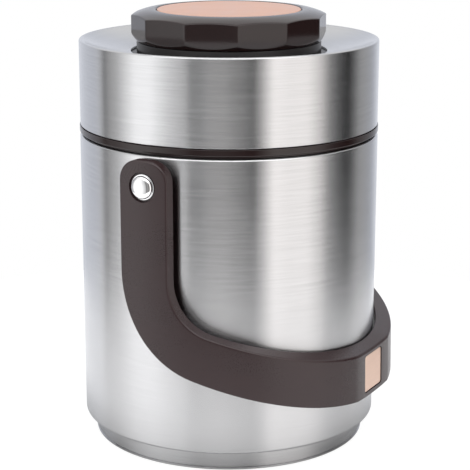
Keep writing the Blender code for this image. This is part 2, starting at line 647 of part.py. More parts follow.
def handle_stations():
    """Cuts across half of the handle, from the arm's top to the front centre.

    Each is (lower edge, upper edge, share), where the edges are (y, z) and
    share says how far the inner wall follows round the pot.
    """
    slope = math.radians(STRAP_SLOPE)
    outer_y = ARM_HALF_WIDTH - OUTER_BEND
    inner_y = -ARM_HALF_WIDTH - INNER_BEND
    outer_z = strap_low(outer_y) + OUTER_BEND / math.cos(slope)
    inner_z = strap_low(inner_y) + STRAP_LIFT + INNER_BEND / math.cos(slope)
    arm_end = PIVOT_HEIGHT + ARM_TOP
    corner_z = arm_end - ARM_CORNER
    corner_y = ARM_HALF_WIDTH - ARM_CORNER
    stations = []
    for y, z in arc((corner_y, corner_z), ARM_CORNER, 90, 0, 4):
        stations.append(((y, z), (-y, z), 0.0))
    for share in (0.35, 0.7):
        low = (ARM_HALF_WIDTH, corner_z + (outer_z - corner_z) * share)
        high = (-ARM_HALF_WIDTH, corner_z + (inner_z - corner_z) * share)
        stations.append((low, high, 0.0))
    bend = 90.0 - STRAP_SLOPE
    lows = arc((outer_y, outer_z), OUTER_BEND, 0, -bend, 6)
    highs = arc((inner_y, inner_z), INNER_BEND, 0, -bend, 6)
    for low, high in zip(lows, highs):
        stations.append((low, high, 0.0))
    low_start = math.acos(-lows[-1][0] / HANDLE_RADIUS)
    high_start = math.acos(-highs[-1][0] / HANDLE_RADIUS)
    even = math.radians(30.0)
    steps = 4
    for step in range(1, steps + 1):
        share = step / steps
        low_y = -HANDLE_RADIUS * math.cos(low_start + (even - low_start) * share)
        high_y = -HANDLE_RADIUS * math.cos(high_start + (even - high_start) * share)
        stations.append(((low_y, strap_low(low_y)), (high_y, strap_low(high_y) + STRAP_LIFT), share))
    pad_angle = math.acos(PAD_FACE / HANDLE_RADIUS)
    before_pad = [pad_angle + (even - pad_angle) * share for share in (0.75, 0.4)]
    for angle in before_pad + [pad_angle, pad_angle / 2, 0.0]:
        y = -HANDLE_RADIUS * math.cos(angle)
        stations.append(((y, strap_low(y)), (y, strap_low(y) + STRAP_LIFT), 1.0))
    return stations


def handle_point(y, z, share, outside):
    """Place on the handle's outer or inner wall, for its left half."""
    turn = min(1.0, max(0.0, -y / HANDLE_RADIUS))
    if outside:
        lean = share * math.tan(math.radians(STRAP_LEAN)) * (strap_low(y) + STRAP_LIFT - z)
        grown = 1.0 + lean / HANDLE_RADIUS
        across = math.sqrt(max(0.0, HANDLE_RADIUS ** 2 - y ** 2))
        return Vector((-across * grown, max(y * grown, -PAD_FACE - lean), z))
    front = BODY_RADIUS + STRAP_REST
    radius = ARM_IN + (front - ARM_IN) * turn * turn
    inner_y = y * (1.0 + share * (radius / HANDLE_RADIUS - 1.0))
    inner_z = z + math.tan(math.radians(STRAP_SLOPE)) * (inner_y - y)
    across = math.sqrt(max(0.0, radius ** 2 - inner_y ** 2))
    return Vector((-across, inner_y, inner_z))


def leaned(shape):
    """The shape, tipped about the top of the pad to lie along the leaning face."""
    tip = Matrix.Rotation(math.radians(-STRAP_LEAN), 3, "X")
    bmesh.ops.rotate(shape, cent=PAD_TOP, matrix=tip, verts=shape.verts)
    return shape


def handle():
    """Moulded U-shaped handle: two arms, two bends and a sloping strap."""
    half = handle_stations()
    rows = 4
    shape = bmesh.new()
    loops = []
    for mirrored in (False, True):
        order = half if not mirrored else half[-2::-1]
        for low, high, share in order:
            loop = []
            for outside in (True, False):
                for row in range(rows + 1):
                    part = row / rows if outside else 1.0 - row / rows
                    y = low[0] + (high[0] - low[0]) * part
                    z = low[1] + (high[1] - low[1]) * part
                    place = handle_point(y, z, share, outside)
                    if mirrored:
                        place.x = -place.x
                    loop.append(shape.verts.new(place))
            loops.append(loop)
    count = len(loops[0])
    for near, far in zip(loops, loops[1:]):
        for index in range(count):
            follow = (index + 1) % count
            shape.faces.new((near[index], near[follow], far[follow], far[index]))
    shape.faces.new(loops[0])
    shape.faces.new(loops[-1])
    piece = finish("handle", shape, "brown_plastic", PIVOT)
    rounding = piece.modifiers.new("edges", "BEVEL")
    rounding.limit_method = "ANGLE"
    rounding.angle_limit = math.radians(50.0)
    rounding.width = HANDLE_EDGE
    rounding.segments = 2
    far = HANDLE_RADIUS + CAP_DOME
    bore = [(0.0, BODY_RADIUS), (WASHER_RADIUS + GAP, BODY_RADIUS), (WASHER_RADIUS + GAP, SEAT_IN)]
    bore += [(BUSH_RADIUS + GAP, SEAT_IN), (BUSH_RADIUS + GAP, RECESS_IN)]
    bore += [(CAP_RADIUS + CAP_PLAY, RECESS_IN), (CAP_RADIUS + CAP_PLAY, far), (0.0, far)]
    for side, word in ((-1, "left"), (1, "right")):
        combine(piece, on_pivot(bore, side), "DIFFERENCE", "guide_bore_" + word)
    wide = BADGE_WIDTH + 2 * GAP
    tall = BADGE_HEIGHT + 2 * GAP
    pocket = rounded_rectangle(wide, tall, BADGE_CORNER + GAP, BADGE_MIDDLE)
    recess = leaned(prism(pocket, -PAD_FACE + BADGE_RECESS, -2 * BADGE_RECESS))
    combine(piece, recess, "DIFFERENCE", "guide_badge_pocket")


def handle_badge():
    """Rose-coloured plate in the pad at the front of the handle."""
    outline = rounded_rectangle(BADGE_WIDTH, BADGE_HEIGHT, BADGE_CORNER, BADGE_MIDDLE)
    back = -PAD_FACE + BADGE_RECESS - GAP
    finish("handle_badge", leaned(prism(outline, back, -BADGE_THICKNESS)), "rose_metal", PIVOT)


def pivots():
    """Stud, washer, bush and domed cap on both sides."""
    flange_out = FLANGE_IN + FLANGE_THICKNESS
    washer_out = WASHER_IN + WASHER_THICKNESS
    bush_out = RECESS_IN - GAP
    rim = HANDLE_RADIUS - CAP_SINK
    rise = CAP_SINK + CAP_DOME
    stud = [(0.0, FLANGE_IN), (FLANGE_RADIUS, FLANGE_IN), (FLANGE_RADIUS, flange_out)]
    stud += [(STUD_RADIUS, flange_out), (STUD_RADIUS, STUD_END), (0.0, STUD_END)]
    washer = [(STUD_BORE, WASHER_IN), (WASHER_RADIUS, WASHER_IN)]
    washer += [(WASHER_RADIUS, washer_out), (STUD_BORE, washer_out)]
    bush = [(STUD_BORE, SEAT_IN), (BUSH_RADIUS, SEAT_IN), (BUSH_RADIUS, bush_out), (STUD_BORE, bush_out)]
    cap = [(STUD_BORE, CAP_IN), (CAP_RADIUS, CAP_IN)]
    steps = 5
    for step in range(steps + 1):
        angle = math.pi / 2 * step / steps
        cap.append((CAP_RADIUS * math.cos(angle), rim + rise * math.sin(angle)))
    cap[-1] = (0.0, rim + rise)
    cap += [(0.0, CAP_BORE_END), (STUD_BORE, CAP_BORE_END)]
    for side, word in ((-1, "left"), (1, "right")):
        finish("pivot_stud_" + word, on_pivot(stud, side), "liner_steel", PIVOT)
        finish("pivot_washer_" + word, on_pivot(washer, side), "black_plastic", PIVOT)
        finish("pivot_bush_" + word, on_pivot(bush, side), "nylon", PIVOT)
        finish("pivot_cap_" + word, on_pivot(cap, side), "chrome", PIVOT)


def build():
    """Make every piece."""
    clear_scene()
    outer_shell()
    base_cup()
    vacuum_floor()
    inner_liner()
    neck_ring()
    lid_cover()
    lid_trim_ring()
    lid_liner()
    lid_gasket()
    lid_insulation()
    knob_collar()
    knob()
    knob_disc()
    vent_stem()
    upper_low = bowl("lower_bowl", LINER_FLOOR + GAP)
    bowl("upper_bowl", upper_low)
    handle()
    handle_badge()
    pivots()


build()
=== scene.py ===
"""Looks of the insulated lunch box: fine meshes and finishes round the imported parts, with camera and studio.

Metres, +Z up, in the part's own frame. The pot stands at the origin on its foot, and the lowered
handle's strap lies over the front, which faces -Y.
"""
import json
import math

import bmesh
import bpy
from mathutils import Matrix, Vector


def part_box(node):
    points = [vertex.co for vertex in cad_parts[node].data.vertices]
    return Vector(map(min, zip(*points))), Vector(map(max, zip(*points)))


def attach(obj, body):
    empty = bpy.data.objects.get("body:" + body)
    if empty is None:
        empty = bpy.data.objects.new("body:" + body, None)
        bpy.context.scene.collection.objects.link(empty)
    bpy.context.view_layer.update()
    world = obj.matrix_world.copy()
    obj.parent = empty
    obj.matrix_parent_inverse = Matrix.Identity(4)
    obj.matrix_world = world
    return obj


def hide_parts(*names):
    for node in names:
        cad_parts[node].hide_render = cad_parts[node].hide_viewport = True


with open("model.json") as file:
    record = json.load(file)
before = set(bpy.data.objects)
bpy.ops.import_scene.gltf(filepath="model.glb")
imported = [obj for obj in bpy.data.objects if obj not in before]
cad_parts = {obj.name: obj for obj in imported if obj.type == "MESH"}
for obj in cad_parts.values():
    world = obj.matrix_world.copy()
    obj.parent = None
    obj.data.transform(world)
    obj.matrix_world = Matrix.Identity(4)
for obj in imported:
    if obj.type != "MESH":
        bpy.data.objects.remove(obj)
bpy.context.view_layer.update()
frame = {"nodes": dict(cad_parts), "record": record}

RECORD = frame["record"]
BODY_OF = {node: body for body, nodes in RECORD["behaviour"]["bodies"].items() for node in nodes}
SLOT_OF = {row["node"]: row["material_slot"] for row in RECORD["subparts"]}

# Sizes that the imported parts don't give by their corners, in metres and degrees
GAP = 0.0003  # clearance between neighbouring pieces
ON_AXIS = 0.0000001  # radius within which a point is on the axis

# Pot
SHELL_WALL = 0.0008
BODY_EDGE = 0.0015  # rounding of the lower corner
BODY_RIM = 0.0011  # and of its upper one
NECK_STEP = 0.0074  # from the shell's side in to its neck
FOOT_EDGE = 0.0008
FOOT_GROOVE = (0.0380, 0.0460, 0.0010)  # inner radius, outer radius and depth
FOOT_LINE = (0.0010, 0.0020, 0.0006)  # heights from and to, and depth
LINER_OUTER = 0.0606
LINER_CORNER = 0.0060
RING_WALL = 0.0012
RING_FLANGE = 0.0009
LUG_COUNT = 4
LUG_ANGLE = 36.0
LUG_REACH = 0.0016
LUG_HEIGHT = 0.0026
LUG_DROP = 0.0013  # from the neck's top down to its lugs
LUG_CLEARANCE = 0.0006  # between the neck's lugs and the lid's

# Lid
COVER_WALL = 0.0008
COVER_EDGE = 0.0008  # rounding of the lid's upper edge
DISH_DEPTH = 0.0057
DISH_RIM = 0.0016  # from the lid's side in to its dished top
TRIM_EDGE_PARTS = 6  # its height, over the rounding of its lower edge
SKIRT_WALL = 0.0020
CEILING_THICKNESS = 0.0020
GASKET_RIB_WALL = 0.0018
COLLAR_RADIUS = 0.0430
COLLAR_REVEAL = 0.0028  # width of its flange that shows round it
COLLAR_WALL = 0.0020
WELL_DEPTH = 0.0095
WELL_FLOOR = 0.0020
FLANGE_THICKNESS = 0.0020
GUIDE_BORE = 0.0073
GUIDE_WALL = 0.0020

# Knob and vent
KNOB_RADIUS = 0.0455
KNOB_SIDES = 12
KNOB_TURN = 3.0
KNOB_UNDERCUT = 0.0028
KNOB_CROWN = 0.0036
KNOB_TOP = 0.0032
KNOB_SOFTNESS = 0.0003  # rounding between two flat sides
KNOB_BLEND = 0.0009  # and between them and its top and underside
KNOB_CROWDING = 1.8  # above 1, the mesh is finer towards the corners
SPIGOT_WALL = 0.0020
SPIGOT_DEPTH = 0.0061
DISC_RECESS = 0.0010
DISC_PROUD = 0.0001  # of the disc, over the knob's crown
DISC_FALL = 0.0001  # of the domed disc towards its edge
DISC_EDGE = 0.9  # size of its broken edge, as a share of its height
DISC_BREAK = (28, 62)  # and the slopes from and to
HUB_WALL = 0.0027
STEM_RADIUS = 0.0035
STEM_HEAD = 0.0020
STEM_EDGE_PARTS = 6  # its radius, over the rounding of its edges
VENT_RADIUS = 0.0030

# Bowls
BOWL_WALL = 0.0012
BOWL_CORNER = 0.0080
BOWL_BEAD = 0.0006  # radius of the rounded rim
PLUG_FLOOR = 0.0010
PLUG_DISH = 0.0020
PLUG_WALL = 0.0015
SEAL_WIDTH = 0.0015
SEAL_LIP = 0.0006
SEAL_EDGE_PARTS = 2.5  # its width, over the rounding of its edges
GRIP_LENGTH = 0.0400
GRIP_WIDTH = 0.0080

# Handle and pivots
PIVOT_DROP = 0.0122  # from the body's top down to the pivots
ARM_HALF_WIDTH = 0.0120
ARM_TOP = 0.0117  # from the pivots up to the arms' ends
ARM_CORNER = 0.0094
ARM_INNER = 0.0732  # inside of the arms, from the axis
ARM_CUTS = (0.15, 0.35, 0.55, 0.75, 0.9)  # where the mesh is cut, down an arm
WASHER_SEAT = (0.0083, 0.0736)  # radius, and how far out its floor lies
STRAP_REST = 0.0005  # between the strap and the shell at the front
STRAP_WIDTH = 0.0212
STRAP_LOW = 0.0270  # height of its lower edge at the front
STRAP_SLOPE = 19.3
STRAP_DRAW = 0.008  # share by which it is drawn in at the front
STRAP_LEAN = 1.0  # degrees that its outer face leans, lower edge out
OUTER_BEND = 0.0510  # radii of the bends between the arms and the strap
INNER_BEND = 0.0260
EVEN_ANGLE = 30.0  # from the front, within which the mesh is cut upright
STRAP_CUTS = (0.82, 0.64, 0.46, 0.28, 0.12)  # where it is cut, from the pad's edge out
PAD_CUTS = (1.0, 0.66, 0.33, 0.0)  # and across half of the pad
HANDLE_EDGE = 0.0009
PAD_FLAT = 0.0023  # depth of the cut that makes the pad flat
BADGE_WIDTH = 0.0184
BADGE_MARGIN = 0.0019
BADGE_CORNER = 0.0012
BADGE_THICKNESS = 0.0006
BADGE_RECESS = 0.0012
BADGE_RAISE = 0.0004
BADGE_EDGE = 0.00018
BUSH_BORE = 0.0049
BORE_START = 0.0020  # how far the bores' tools begin inside the arms
BORE_END = 0.0030  # and end outside them
STUD_HOLE = 0.0033
CAP_PLAY = 0.00075
CAP_RECESS = 0.0012
CAP_SINK = 0.0008  # of the cap's rim, under the arm's face
CAP_FLATNESS = 0.70  # below 1, the dome is flatter in its middle
CAP_RIM = 0.0005  # width of the flat rim round the cap's dome
CAP_BEAD = 0.0001  # rounding of that rim

# Smoothness: points round a turned piece, and the angle over which an edge stays sharp
FINE = 192
MEDIUM = 128
BORE_FINE = 96
SMALL = 72
SHARP = 32.0

# Camera and studio, from the photograph
CAMERA_BEARING = 61.4  # degrees from the front round to the left
CAMERA_DISTANCE = 0.7349
CAMERA_HEIGHT = 0.2830
CAMERA_PITCH = 14.61
CAMERA_LENS = 120.83
SENSOR_WIDTH = 36.0
CAMERA_SHIFT = (0.0128, 0.0112)
TENT_RADIUS = 1.10
TENT_LOW = -0.60
TENT_HIGH = 0.95
TENT_FADE = 0.55  # height from which the panels fade to even white
TENT_PEAK = 1.6  # brightest light that the panels' colours stand for
TABLE_RADIUS = 0.29
TABLE_HEIGHTS = (-0.0040, -0.0001)
TABLE_SEEN = (0.93, 0.14)  # glow and paleness of the table where the camera sees it
TABLE_PLAIN = 0.80  # its paleness for the light it throws on other things
TABLE_GLOW = 0.06  # its glow where it shows in metal
TABLE_PAINTED_SHADOW = (0.19, 0.86)  # its paleness there, by the pot and further out: a painted contact shadow, darker by the pot
TABLE_PAINTED_SHADOW_ENDS = (0.070, 0.125)  # radii between which that painted shadow fades out
TABLE_SHEEN = (0.27, 0.30)  # strength and roughness of its sheen there

# Light of the tent's panels by their bearing, in degrees to the right of the camera
TENT_PANELS = (
    (-180, 0.86), (-150, 0.86), (-126, 0.80), (-115, 0.76), (-109, 0.50), (-106, 0.20), (-101, 0.45),
    (-91, 0.66), (-83, 1.02), (-73, 1.46), (-60, 1.46), (-44, 0.88), (-32, 0.56), (-28, 0.26), (-22, 0.25),
    (-14, 0.37), (-4, 0.38), (10, 0.20), (18, 0.07), (24, 0.52), (33, 1.44), (44, 1.32), (60, 1.36),
    (71, 0.92), (79, 0.36), (88, 0.13), (99, 0.01), (105, 0.12), (115, 0.40), (136, 0.54), (155, 0.86),
    (180, 0.86),
)

# Tint of the panels by bearing: cool daylight behind, a warm lamp on the right
COOL = (0.89, 0.92, 1.0)
NEUTRAL = (1.0, 1.0, 1.0)
MILD = (1.0, 0.98, 0.965)
WARM = (1.0, 0.963, 0.935)
TENT_TINTS = (
    (-180, COOL), (-122, COOL), (-106, NEUTRAL), (-20, NEUTRAL), (-12, MILD), (12, MILD), (28, WARM),
    (72, WARM), (90, NEUTRAL), (118, NEUTRAL), (140, COOL), (180, COOL),
)

# Soft lamp over the camera: elevation, distance, width, height and light
TOP_LAMP = (58.0, 1.0, 2.10, 0.62, 2.6)


def radius(node):
    """Largest radius of a turned part."""
    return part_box(node)[1].x


def low(node):
    """Height of a part's lowest point."""
    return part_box(node)[0].z


def high(node):
    """Height of a part's highest point."""
    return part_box(node)[1].z


BODY_TOP = low("neck_ring") - GAP
NECK_TOP = high("outer_shell")
NECK_RADIUS = radius("outer_shell") - NECK_STEP
RIM_TOP = high("inner_liner")
RING_OUTER = radius("inner_liner")
LINER_INNER = LINER_OUTER - SHELL_WALL
COVER_TOP = high("lid_cover")
DISH_LOW = COVER_TOP - DISH_DEPTH
SKIRT_OUTER = radius("lid_liner")
SKIRT_INNER = SKIRT_OUTER - SKIRT_WALL
LUG_RADIUS = RING_OUTER + LUG_REACH
NECK_LUG_LOW = NECK_TOP - LUG_DROP - LUG_HEIGHT
CEILING_TOP = high("lid_liner")
WELL_TOP = DISH_LOW - WELL_DEPTH
KNOB_HIGH = high("knob")
KNOB_LOW = high("knob_collar") + GAP
DISC_RADIUS = radius("knob_disc")
STEM_BORE = STEM_RADIUS + GAP
HANDLE_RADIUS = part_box("handle")[1].x
HANDLE_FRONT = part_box("handle")[0].y
STRAP_FRONT = radius("outer_shell") + STRAP_REST
PAD_FACE = HANDLE_RADIUS - PAD_FLAT
PIVOT_HEIGHT = BODY_TOP - PIVOT_DROP
RECESS_IN = HANDLE_RADIUS - CAP_RECESS
STRAP_LIFT = STRAP_WIDTH / math.cos(math.radians(STRAP_SLOPE))
PAD_TOP = Vector((0.0, -PAD_FACE, STRAP_LOW + STRAP_LIFT))
BADGE_HEIGHT = STRAP_WIDTH - 2 * BADGE_MARGIN
BADGE_MIDDLE = STRAP_LOW + STRAP_LIFT / 2 + BADGE_RAISE
BEARING = math.radians(CAMERA_BEARING)
VIEW = Vector((math.sin(BEARING), math.cos(BEARING), 0.0))  # level, from the camera to the pot


# Node trees

def new_tree(name):
    """A new material's node tree and shader."""
    made = bpy.data.materials.new(name)
    made.use_nodes = True
    tree = made.node_tree
    return made, tree, tree.nodes["Principled BSDF"]


def wire(tree, node, inputs):
    """Give a node's inputs their values or links."""
    for name, value in inputs.items():
        if isinstance(value, bpy.types.NodeSocket):
            tree.links.new(value, node.inputs[name])
        else:
            node.inputs[name].default_value = value


def add(tree, kind, inputs=None, **settings):
    """A new node with its settings and inputs."""
    node = tree.nodes.new(kind)
    for name, value in settings.items():
        setattr(node, name, value)
    wire(tree, node, inputs or {})
    return node


def number(tree, operation, *values):
    """Outcome of a sum with numbers."""
    return add(tree, "ShaderNodeMath", dict(enumerate(values)), operation=operation).outputs[0]


def vector(tree, operation, *values):
    """Outcome of a sum with vectors."""
    return add(tree, "ShaderNodeVectorMath", dict(enumerate(values)), operation=operation).outputs[0]


def place_of(tree):
    """Position in the piece's own frame, in metres."""
    return add(tree, "ShaderNodeTexCoord").outputs["Object"]


def distance(tree, place):
    """Distance of the place from the origin."""
    return add(tree, "ShaderNodeVectorMath", {0: place}, operation="LENGTH").outputs["Value"]


def round_the_axis(tree, place, along, across):
    """Coordinates that vary slowly round the axis and fast up and out from it."""
    out = distance(tree, vector(tree, "MULTIPLY", place, (1.0, 1.0, 0.0)))
    parts = add(tree, "ShaderNodeSeparateXYZ", {0: place}).outputs
    climb = number(tree, "ADD", parts["Z"], out)
    steps = add(tree, "ShaderNodeCombineXYZ", {0: parts["X"], 1: parts["Y"], 2: climb}).outputs[0]
    return vector(tree, "MULTIPLY", steps, (along, along, across))


def noise(tree, place, scale, detail=3.0, roughness=0.55):
    """Noise value from 0 to 1, with one scale or one for each axis."""
    if isinstance(scale, tuple):
        place = vector(tree, "MULTIPLY", place, scale)
        scale = 1.0
    inputs = {"Vector": place, "Scale": scale, "Detail": detail, "Roughness": roughness}
    return add(tree, "ShaderNodeTexNoise", inputs).outputs["Fac"]


def remap(tree, value, start, end, source=(0.3, 0.7)):
    """The value, moved from one range to another."""
    inputs = {"Value": value, "From Min": source[0], "From Max": source[1], "To Min": start, "To Max": end}
    return add(tree, "ShaderNodeMapRange", inputs).outputs["Result"]


def mottled(tree, value, colour, dark, light):
    """Colour that follows the value, from a darker to a lighter share of it."""
    darker, lighter = [(*(part * share for part in colour), 1.0) for share in (dark, light)]
    # For colours the node's inputs are 0, 6 and 7, and its output is 2
    inputs = {0: remap(tree, value, 0.0, 1.0), 6: darker, 7: lighter}
    return add(tree, "ShaderNodeMix", inputs, data_type="RGBA").outputs[2]


def uneven(tree, first, second, middle, spread):
    """Value that strays to both sides of its middle with two noises."""
    return remap(tree, number(tree, "ADD", first, second), middle - spread, middle + spread, (0.75, 1.25))


def relief(tree, value, depth):
    """Normal of a surface whose height follows the value."""
    inputs = {"Height": value, "Distance": depth, "Strength": 1.0}
    return add(tree, "ShaderNodeBump", inputs).outputs["Normal"]


def brushed_metal(tree, place, colour, roughness, spread, anisotropy, lines, depth):
    """Metal brushed round the axis: fine lines, soft clouds, and a reflection drawn out across the lines."""
    fine = noise(tree, round_the_axis(tree, place, lines / 45, lines), 1.0, 3.0, 0.6)
    return {
        "Base Color": mottled(tree, fine, colour, 0.95, 1.04),
        "Metallic": 1.0,
        "Roughness": uneven(tree, fine, noise(tree, place, 34.0), roughness, spread),
        "Normal": relief(tree, fine, depth),
        "Anisotropic": anisotropy,
        "Anisotropic Rotation": 0.25,
        "Tangent": add(tree, "ShaderNodeTangent", direction_type="RADIAL", axis="Z").outputs[0],
    }


def satin_plastic(tree, place, colour, roughness, grain, depth, specular):
    """Moulded plastic with a fine spark-eroded grain and faint flow marks."""
    flow = noise(tree, place, (30.0, 30.0, 55.0))
    pores = noise(tree, place, grain, 2.0, 0.6)
    return {
        "Base Color": mottled(tree, flow, colour, 0.90, 1.10),
        "Roughness": uneven(tree, flow, pores, roughness, 0.04),
        "Normal": relief(tree, pores, depth),
        "Specular IOR Level": specular,
    }


def polished_metal(tree, place, colour, roughness):
    """Plated metal with faint haze and hairline scratches."""
    haze = noise(tree, place, 260.0, 2.0)
    hair = noise(tree, place, (250.0, 4000.0, 900.0), 2.0)
    return {
        "Base Color": mottled(tree, haze, colour, 0.97, 1.0),
        "Metallic": 1.0,
        "Roughness": remap(tree, haze, roughness * 0.7, roughness * 1.5),
        "Normal": relief(tree, hair, 0.000001),
    }


def rose_metal(tree, place, colour, roughness):
    """Rose-coloured anodised metal with a fine straight brushing."""
    lines = noise(tree, place, (90.0, 3200.0, 3200.0), 3.0, 0.6)
    return {
        "Base Color": mottled(tree, lines, colour, 0.95, 1.04),
        "Metallic": 1.0,
        "Roughness": uneven(tree, lines, noise(tree, place, 70.0, 2.0), roughness, 0.05),
        "Normal": relief(tree, lines, 0.000004),
    }


def soft_rubber(tree, place, colour, roughness, glow):
    """Milky silicone with light inside it and a faint bloom."""
    bloom = noise(tree, place, 180.0)
    return {
        "Base Color": mottled(tree, bloom, colour, 0.94, 1.0),
        "Roughness": remap(tree, bloom, roughness - 0.07, roughness + 0.07),
        "Normal": relief(tree, noise(tree, place, 1500.0, 2.0), 0.00001),
        "Subsurface Weight": glow,
        "Subsurface Radius": (0.003, 0.0025, 0.002),
        "Subsurface Scale": 0.5,
    }


def foam_block(tree, place, colour):
    """Rigid foam with fine cells."""
    cells = add(tree, "ShaderNodeTexVoronoi", {"Vector": place, "Scale": 900.0}).outputs["Distance"]
    return {
        "Base Color": mottled(tree, noise(tree, place, 60.0, 4.0), colour, 0.88, 1.0),
        "Roughness": remap(tree, cells, 0.82, 0.98, (0.0, 0.8)),
        "Normal": relief(tree, cells, 0.0002),
    }


def material(name, recipe, *values):
    """Material whose shader gets its inputs from a recipe."""
    made, tree, shader = new_tree(name)
    wire(tree, shader, recipe(tree, place_of(tree), *values))
    return made


# Colour and roughness; for steels also its spread, the stretch, and the number and depth of the lines;
# for plastics the number and depth of the pores, and the gloss; for silicone the glow
RECIPES = {
    "brushed_steel": (brushed_metal, (0.60, 0.60, 0.61), 0.22, 0.02, 1.0, 1700.0, 0.000001),
    "liner_steel": (brushed_metal, (0.60, 0.60, 0.61), 0.26, 0.04, 0.50, 900.0, 0.000004),
    "bowl_steel": (brushed_metal, (0.62, 0.62, 0.63), 0.22, 0.04, 0.45, 700.0, 0.000004),
    "brown_plastic": (satin_plastic, (0.029, 0.0138, 0.0150), 0.30, 2600.0, 0.000008, 0.50),
    "brown_gloss": (satin_plastic, (0.017, 0.0080, 0.0080), 0.13, 2600.0, 0.000002, 0.50),
    "black_plastic": (satin_plastic, (0.0085, 0.0066, 0.0072), 0.30, 2600.0, 0.000008, 0.34),
    "bowl_lid_plastic": (satin_plastic, (0.70, 0.66, 0.60), 0.40, 2200.0, 0.000012, 0.50),
    "nylon": (satin_plastic, (0.80, 0.78, 0.72), 0.42, 1800.0, 0.000012, 0.50),
    "rose_metal": (rose_metal, (0.86, 0.50, 0.35), 0.35),
    "badge_metal": (rose_metal, (0.70, 0.50, 0.40), 0.33),
    "chrome": (polished_metal, (0.86, 0.86, 0.87), 0.045),
    "silicone": (soft_rubber, (0.74, 0.74, 0.72), 0.50, 0.15),
    "foam": (foam_block, (0.86, 0.85, 0.80)),
}
LOOKS = {name: material(name, *values) for name, values in RECIPES.items()}


# Shapes

def part_way(start, end, share):
    """The number at a share of the way from one to another."""
    return start + (end - start) * share


def shares(steps):
    """Numbers from 0 to 1 in even steps."""
    return [step / steps for step in range(steps + 1)]


def arc(centre, size, start, end, steps):
    """Points of an arc, from one angle in degrees to another."""
    points = []
    for share in shares(steps):
        angle = math.radians(part_way(start, end, share))
        points.append((centre[0] + size * math.cos(angle), centre[1] + size * math.sin(angle)))
    return points


def rounded(out, height, size, start, steps):
    """Points that round off the corner at (out, height), over 90 degrees from the start."""
    middle = math.radians(start + 45)
    centre = (out - math.copysign(size, math.cos(middle)), height - math.copysign(size, math.sin(middle)))
    return arc(centre, size, start, start + 90, steps)


def rounded_box(near, far, bottom, top, size, steps):
    """Outline of a rectangle with round corners."""
    outline = rounded(far, top, size, 0, steps) + rounded(near, top, size, 90, steps)
    return outline + rounded(near, bottom, size, 180, steps) + rounded(far, bottom, size, 270, steps)


def circle(shape, out, height, segments):
    """Ring of points round the axis, or the one point on it."""
    if out < ON_AXIS:
        return [shape.verts.new((0.0, 0.0, height))]
    turns = [math.tau * step / segments for step in range(segments)]
    return [shape.verts.new((out * math.cos(turn), out * math.sin(turn), height)) for turn in turns]


def join(shape, rings):
    """Faces between each ring and the next, where a ring may be a single point."""
    for near, far in zip(rings, rings[1:]):
        segments = max(len(near), len(far))
        for step in range(segments):
            follow = (step + 1) % segments
            if len(near) == len(far) > 1:
                shape.faces.new((near[step], near[follow], far[follow], far[step]))
            elif len(far) > 1:
                shape.faces.new((near[0], far[follow], far[step]))
            elif len(near) > 1:
                shape.faces.new((near[step], near[follow], far[0]))


def spin(outline, segments):
    """Closed solid of revolution about Z from a closed (radius, height) outline."""
    shape = bmesh.new()
    rings = [circle(shape, out, height, segments) for out, height in outline]
    join(shape, rings + rings[:1])
    return shape


def sector(inner, outer, bottom, top, middle):
    """Block that fills a lug's share of a ring, centred on an angle in degrees."""
    shape = bmesh.new()
    columns = []
    for share in shares(20):
        turn = math.radians(middle + LUG_ANGLE * (share - 0.5))
        column = []
        for out, height in ((inner, bottom), (outer, bottom), (outer, top), (inner, top)):
            column.append(shape.verts.new((out * math.cos(turn), out * math.sin(turn), height)))
        columns.append(column)
    join(shape, columns)
    shape.faces.new(columns[0])
    shape.faces.new(columns[-1])
    return shape


def lugs(inner, outer, bottom, top, shift):
    """Boolean tools that add lugs to a ring, turned by a share of the angle between two of them."""
    turns = [360.0 / LUG_COUNT * (index + shift) for index in range(LUG_COUNT)]
    return [(sector(inner, outer, bottom, top, turn), "UNION") for turn in turns]


def prism(outline, start, depth):
    """Prism whose (x, z) outline lies at y = start and runs back along Y."""
    shape = bmesh.new()
    face = shape.faces.new([shape.verts.new((x, start, z)) for x, z in outline])
    pushed = bmesh.ops.extrude_face_region(shape, geom=[face])["geom"]
    moved = [item for item in pushed if isinstance(item, bmesh.types.BMVert)]
    bmesh.ops.translate(shape, vec=(0.0, depth, 0.0), verts=moved)
    return shape


def on_pivot(outline, side, segments=SMALL):
    """Turned shape on the pivot line; heights in the outline run out along X."""
    shape = spin(outline, segments)
    lay_down = Matrix.Rotation(math.radians(90.0 * side), 4, "Y")
    move = Matrix.Translation((0.0, 0.0, PIVOT_HEIGHT))
    bmesh.ops.transform(shape, matrix=move @ lay_down, verts=shape.verts)
    return shape


def object_from(name, shape):
    """Object from a bmesh, smooth but for its sharp edges."""
    bmesh.ops.recalc_face_normals(shape, faces=shape.faces)
    mesh = bpy.data.meshes.new(name)
    shape.to_mesh(mesh)
    shape.free()
    mesh.shade_smooth()
    mesh.set_sharp_from_angle(angle=math.radians(SHARP))
    obj = bpy.data.objects.new(name, mesh)
    bpy.context.scene.collection.objects.link(obj)
    return obj


def combine(obj, tools):
    """Change an object by Booleans with (bmesh, operation) tools."""
    helpers = []
    for index, (shape, operation) in enumerate(tools):
        helper = object_from(f"{obj.name}_tool_{index}", shape)
        change = obj.modifiers.new(helper.name, "BOOLEAN")
        change.operation = operation
        change.solver = "EXACT"
        change.object = helper
        helpers.append(helper)
    settle(obj)
    for helper in helpers:
        bpy.data.objects.remove(helper)


def settle(obj):
    """Make an object's modifiers part of its mesh."""
    view = bpy.context.evaluated_depsgraph_get()
    mesh = bpy.data.meshes.new_from_object(obj.evaluated_get(view))
    obj.modifiers.clear()
    obj.data = mesh


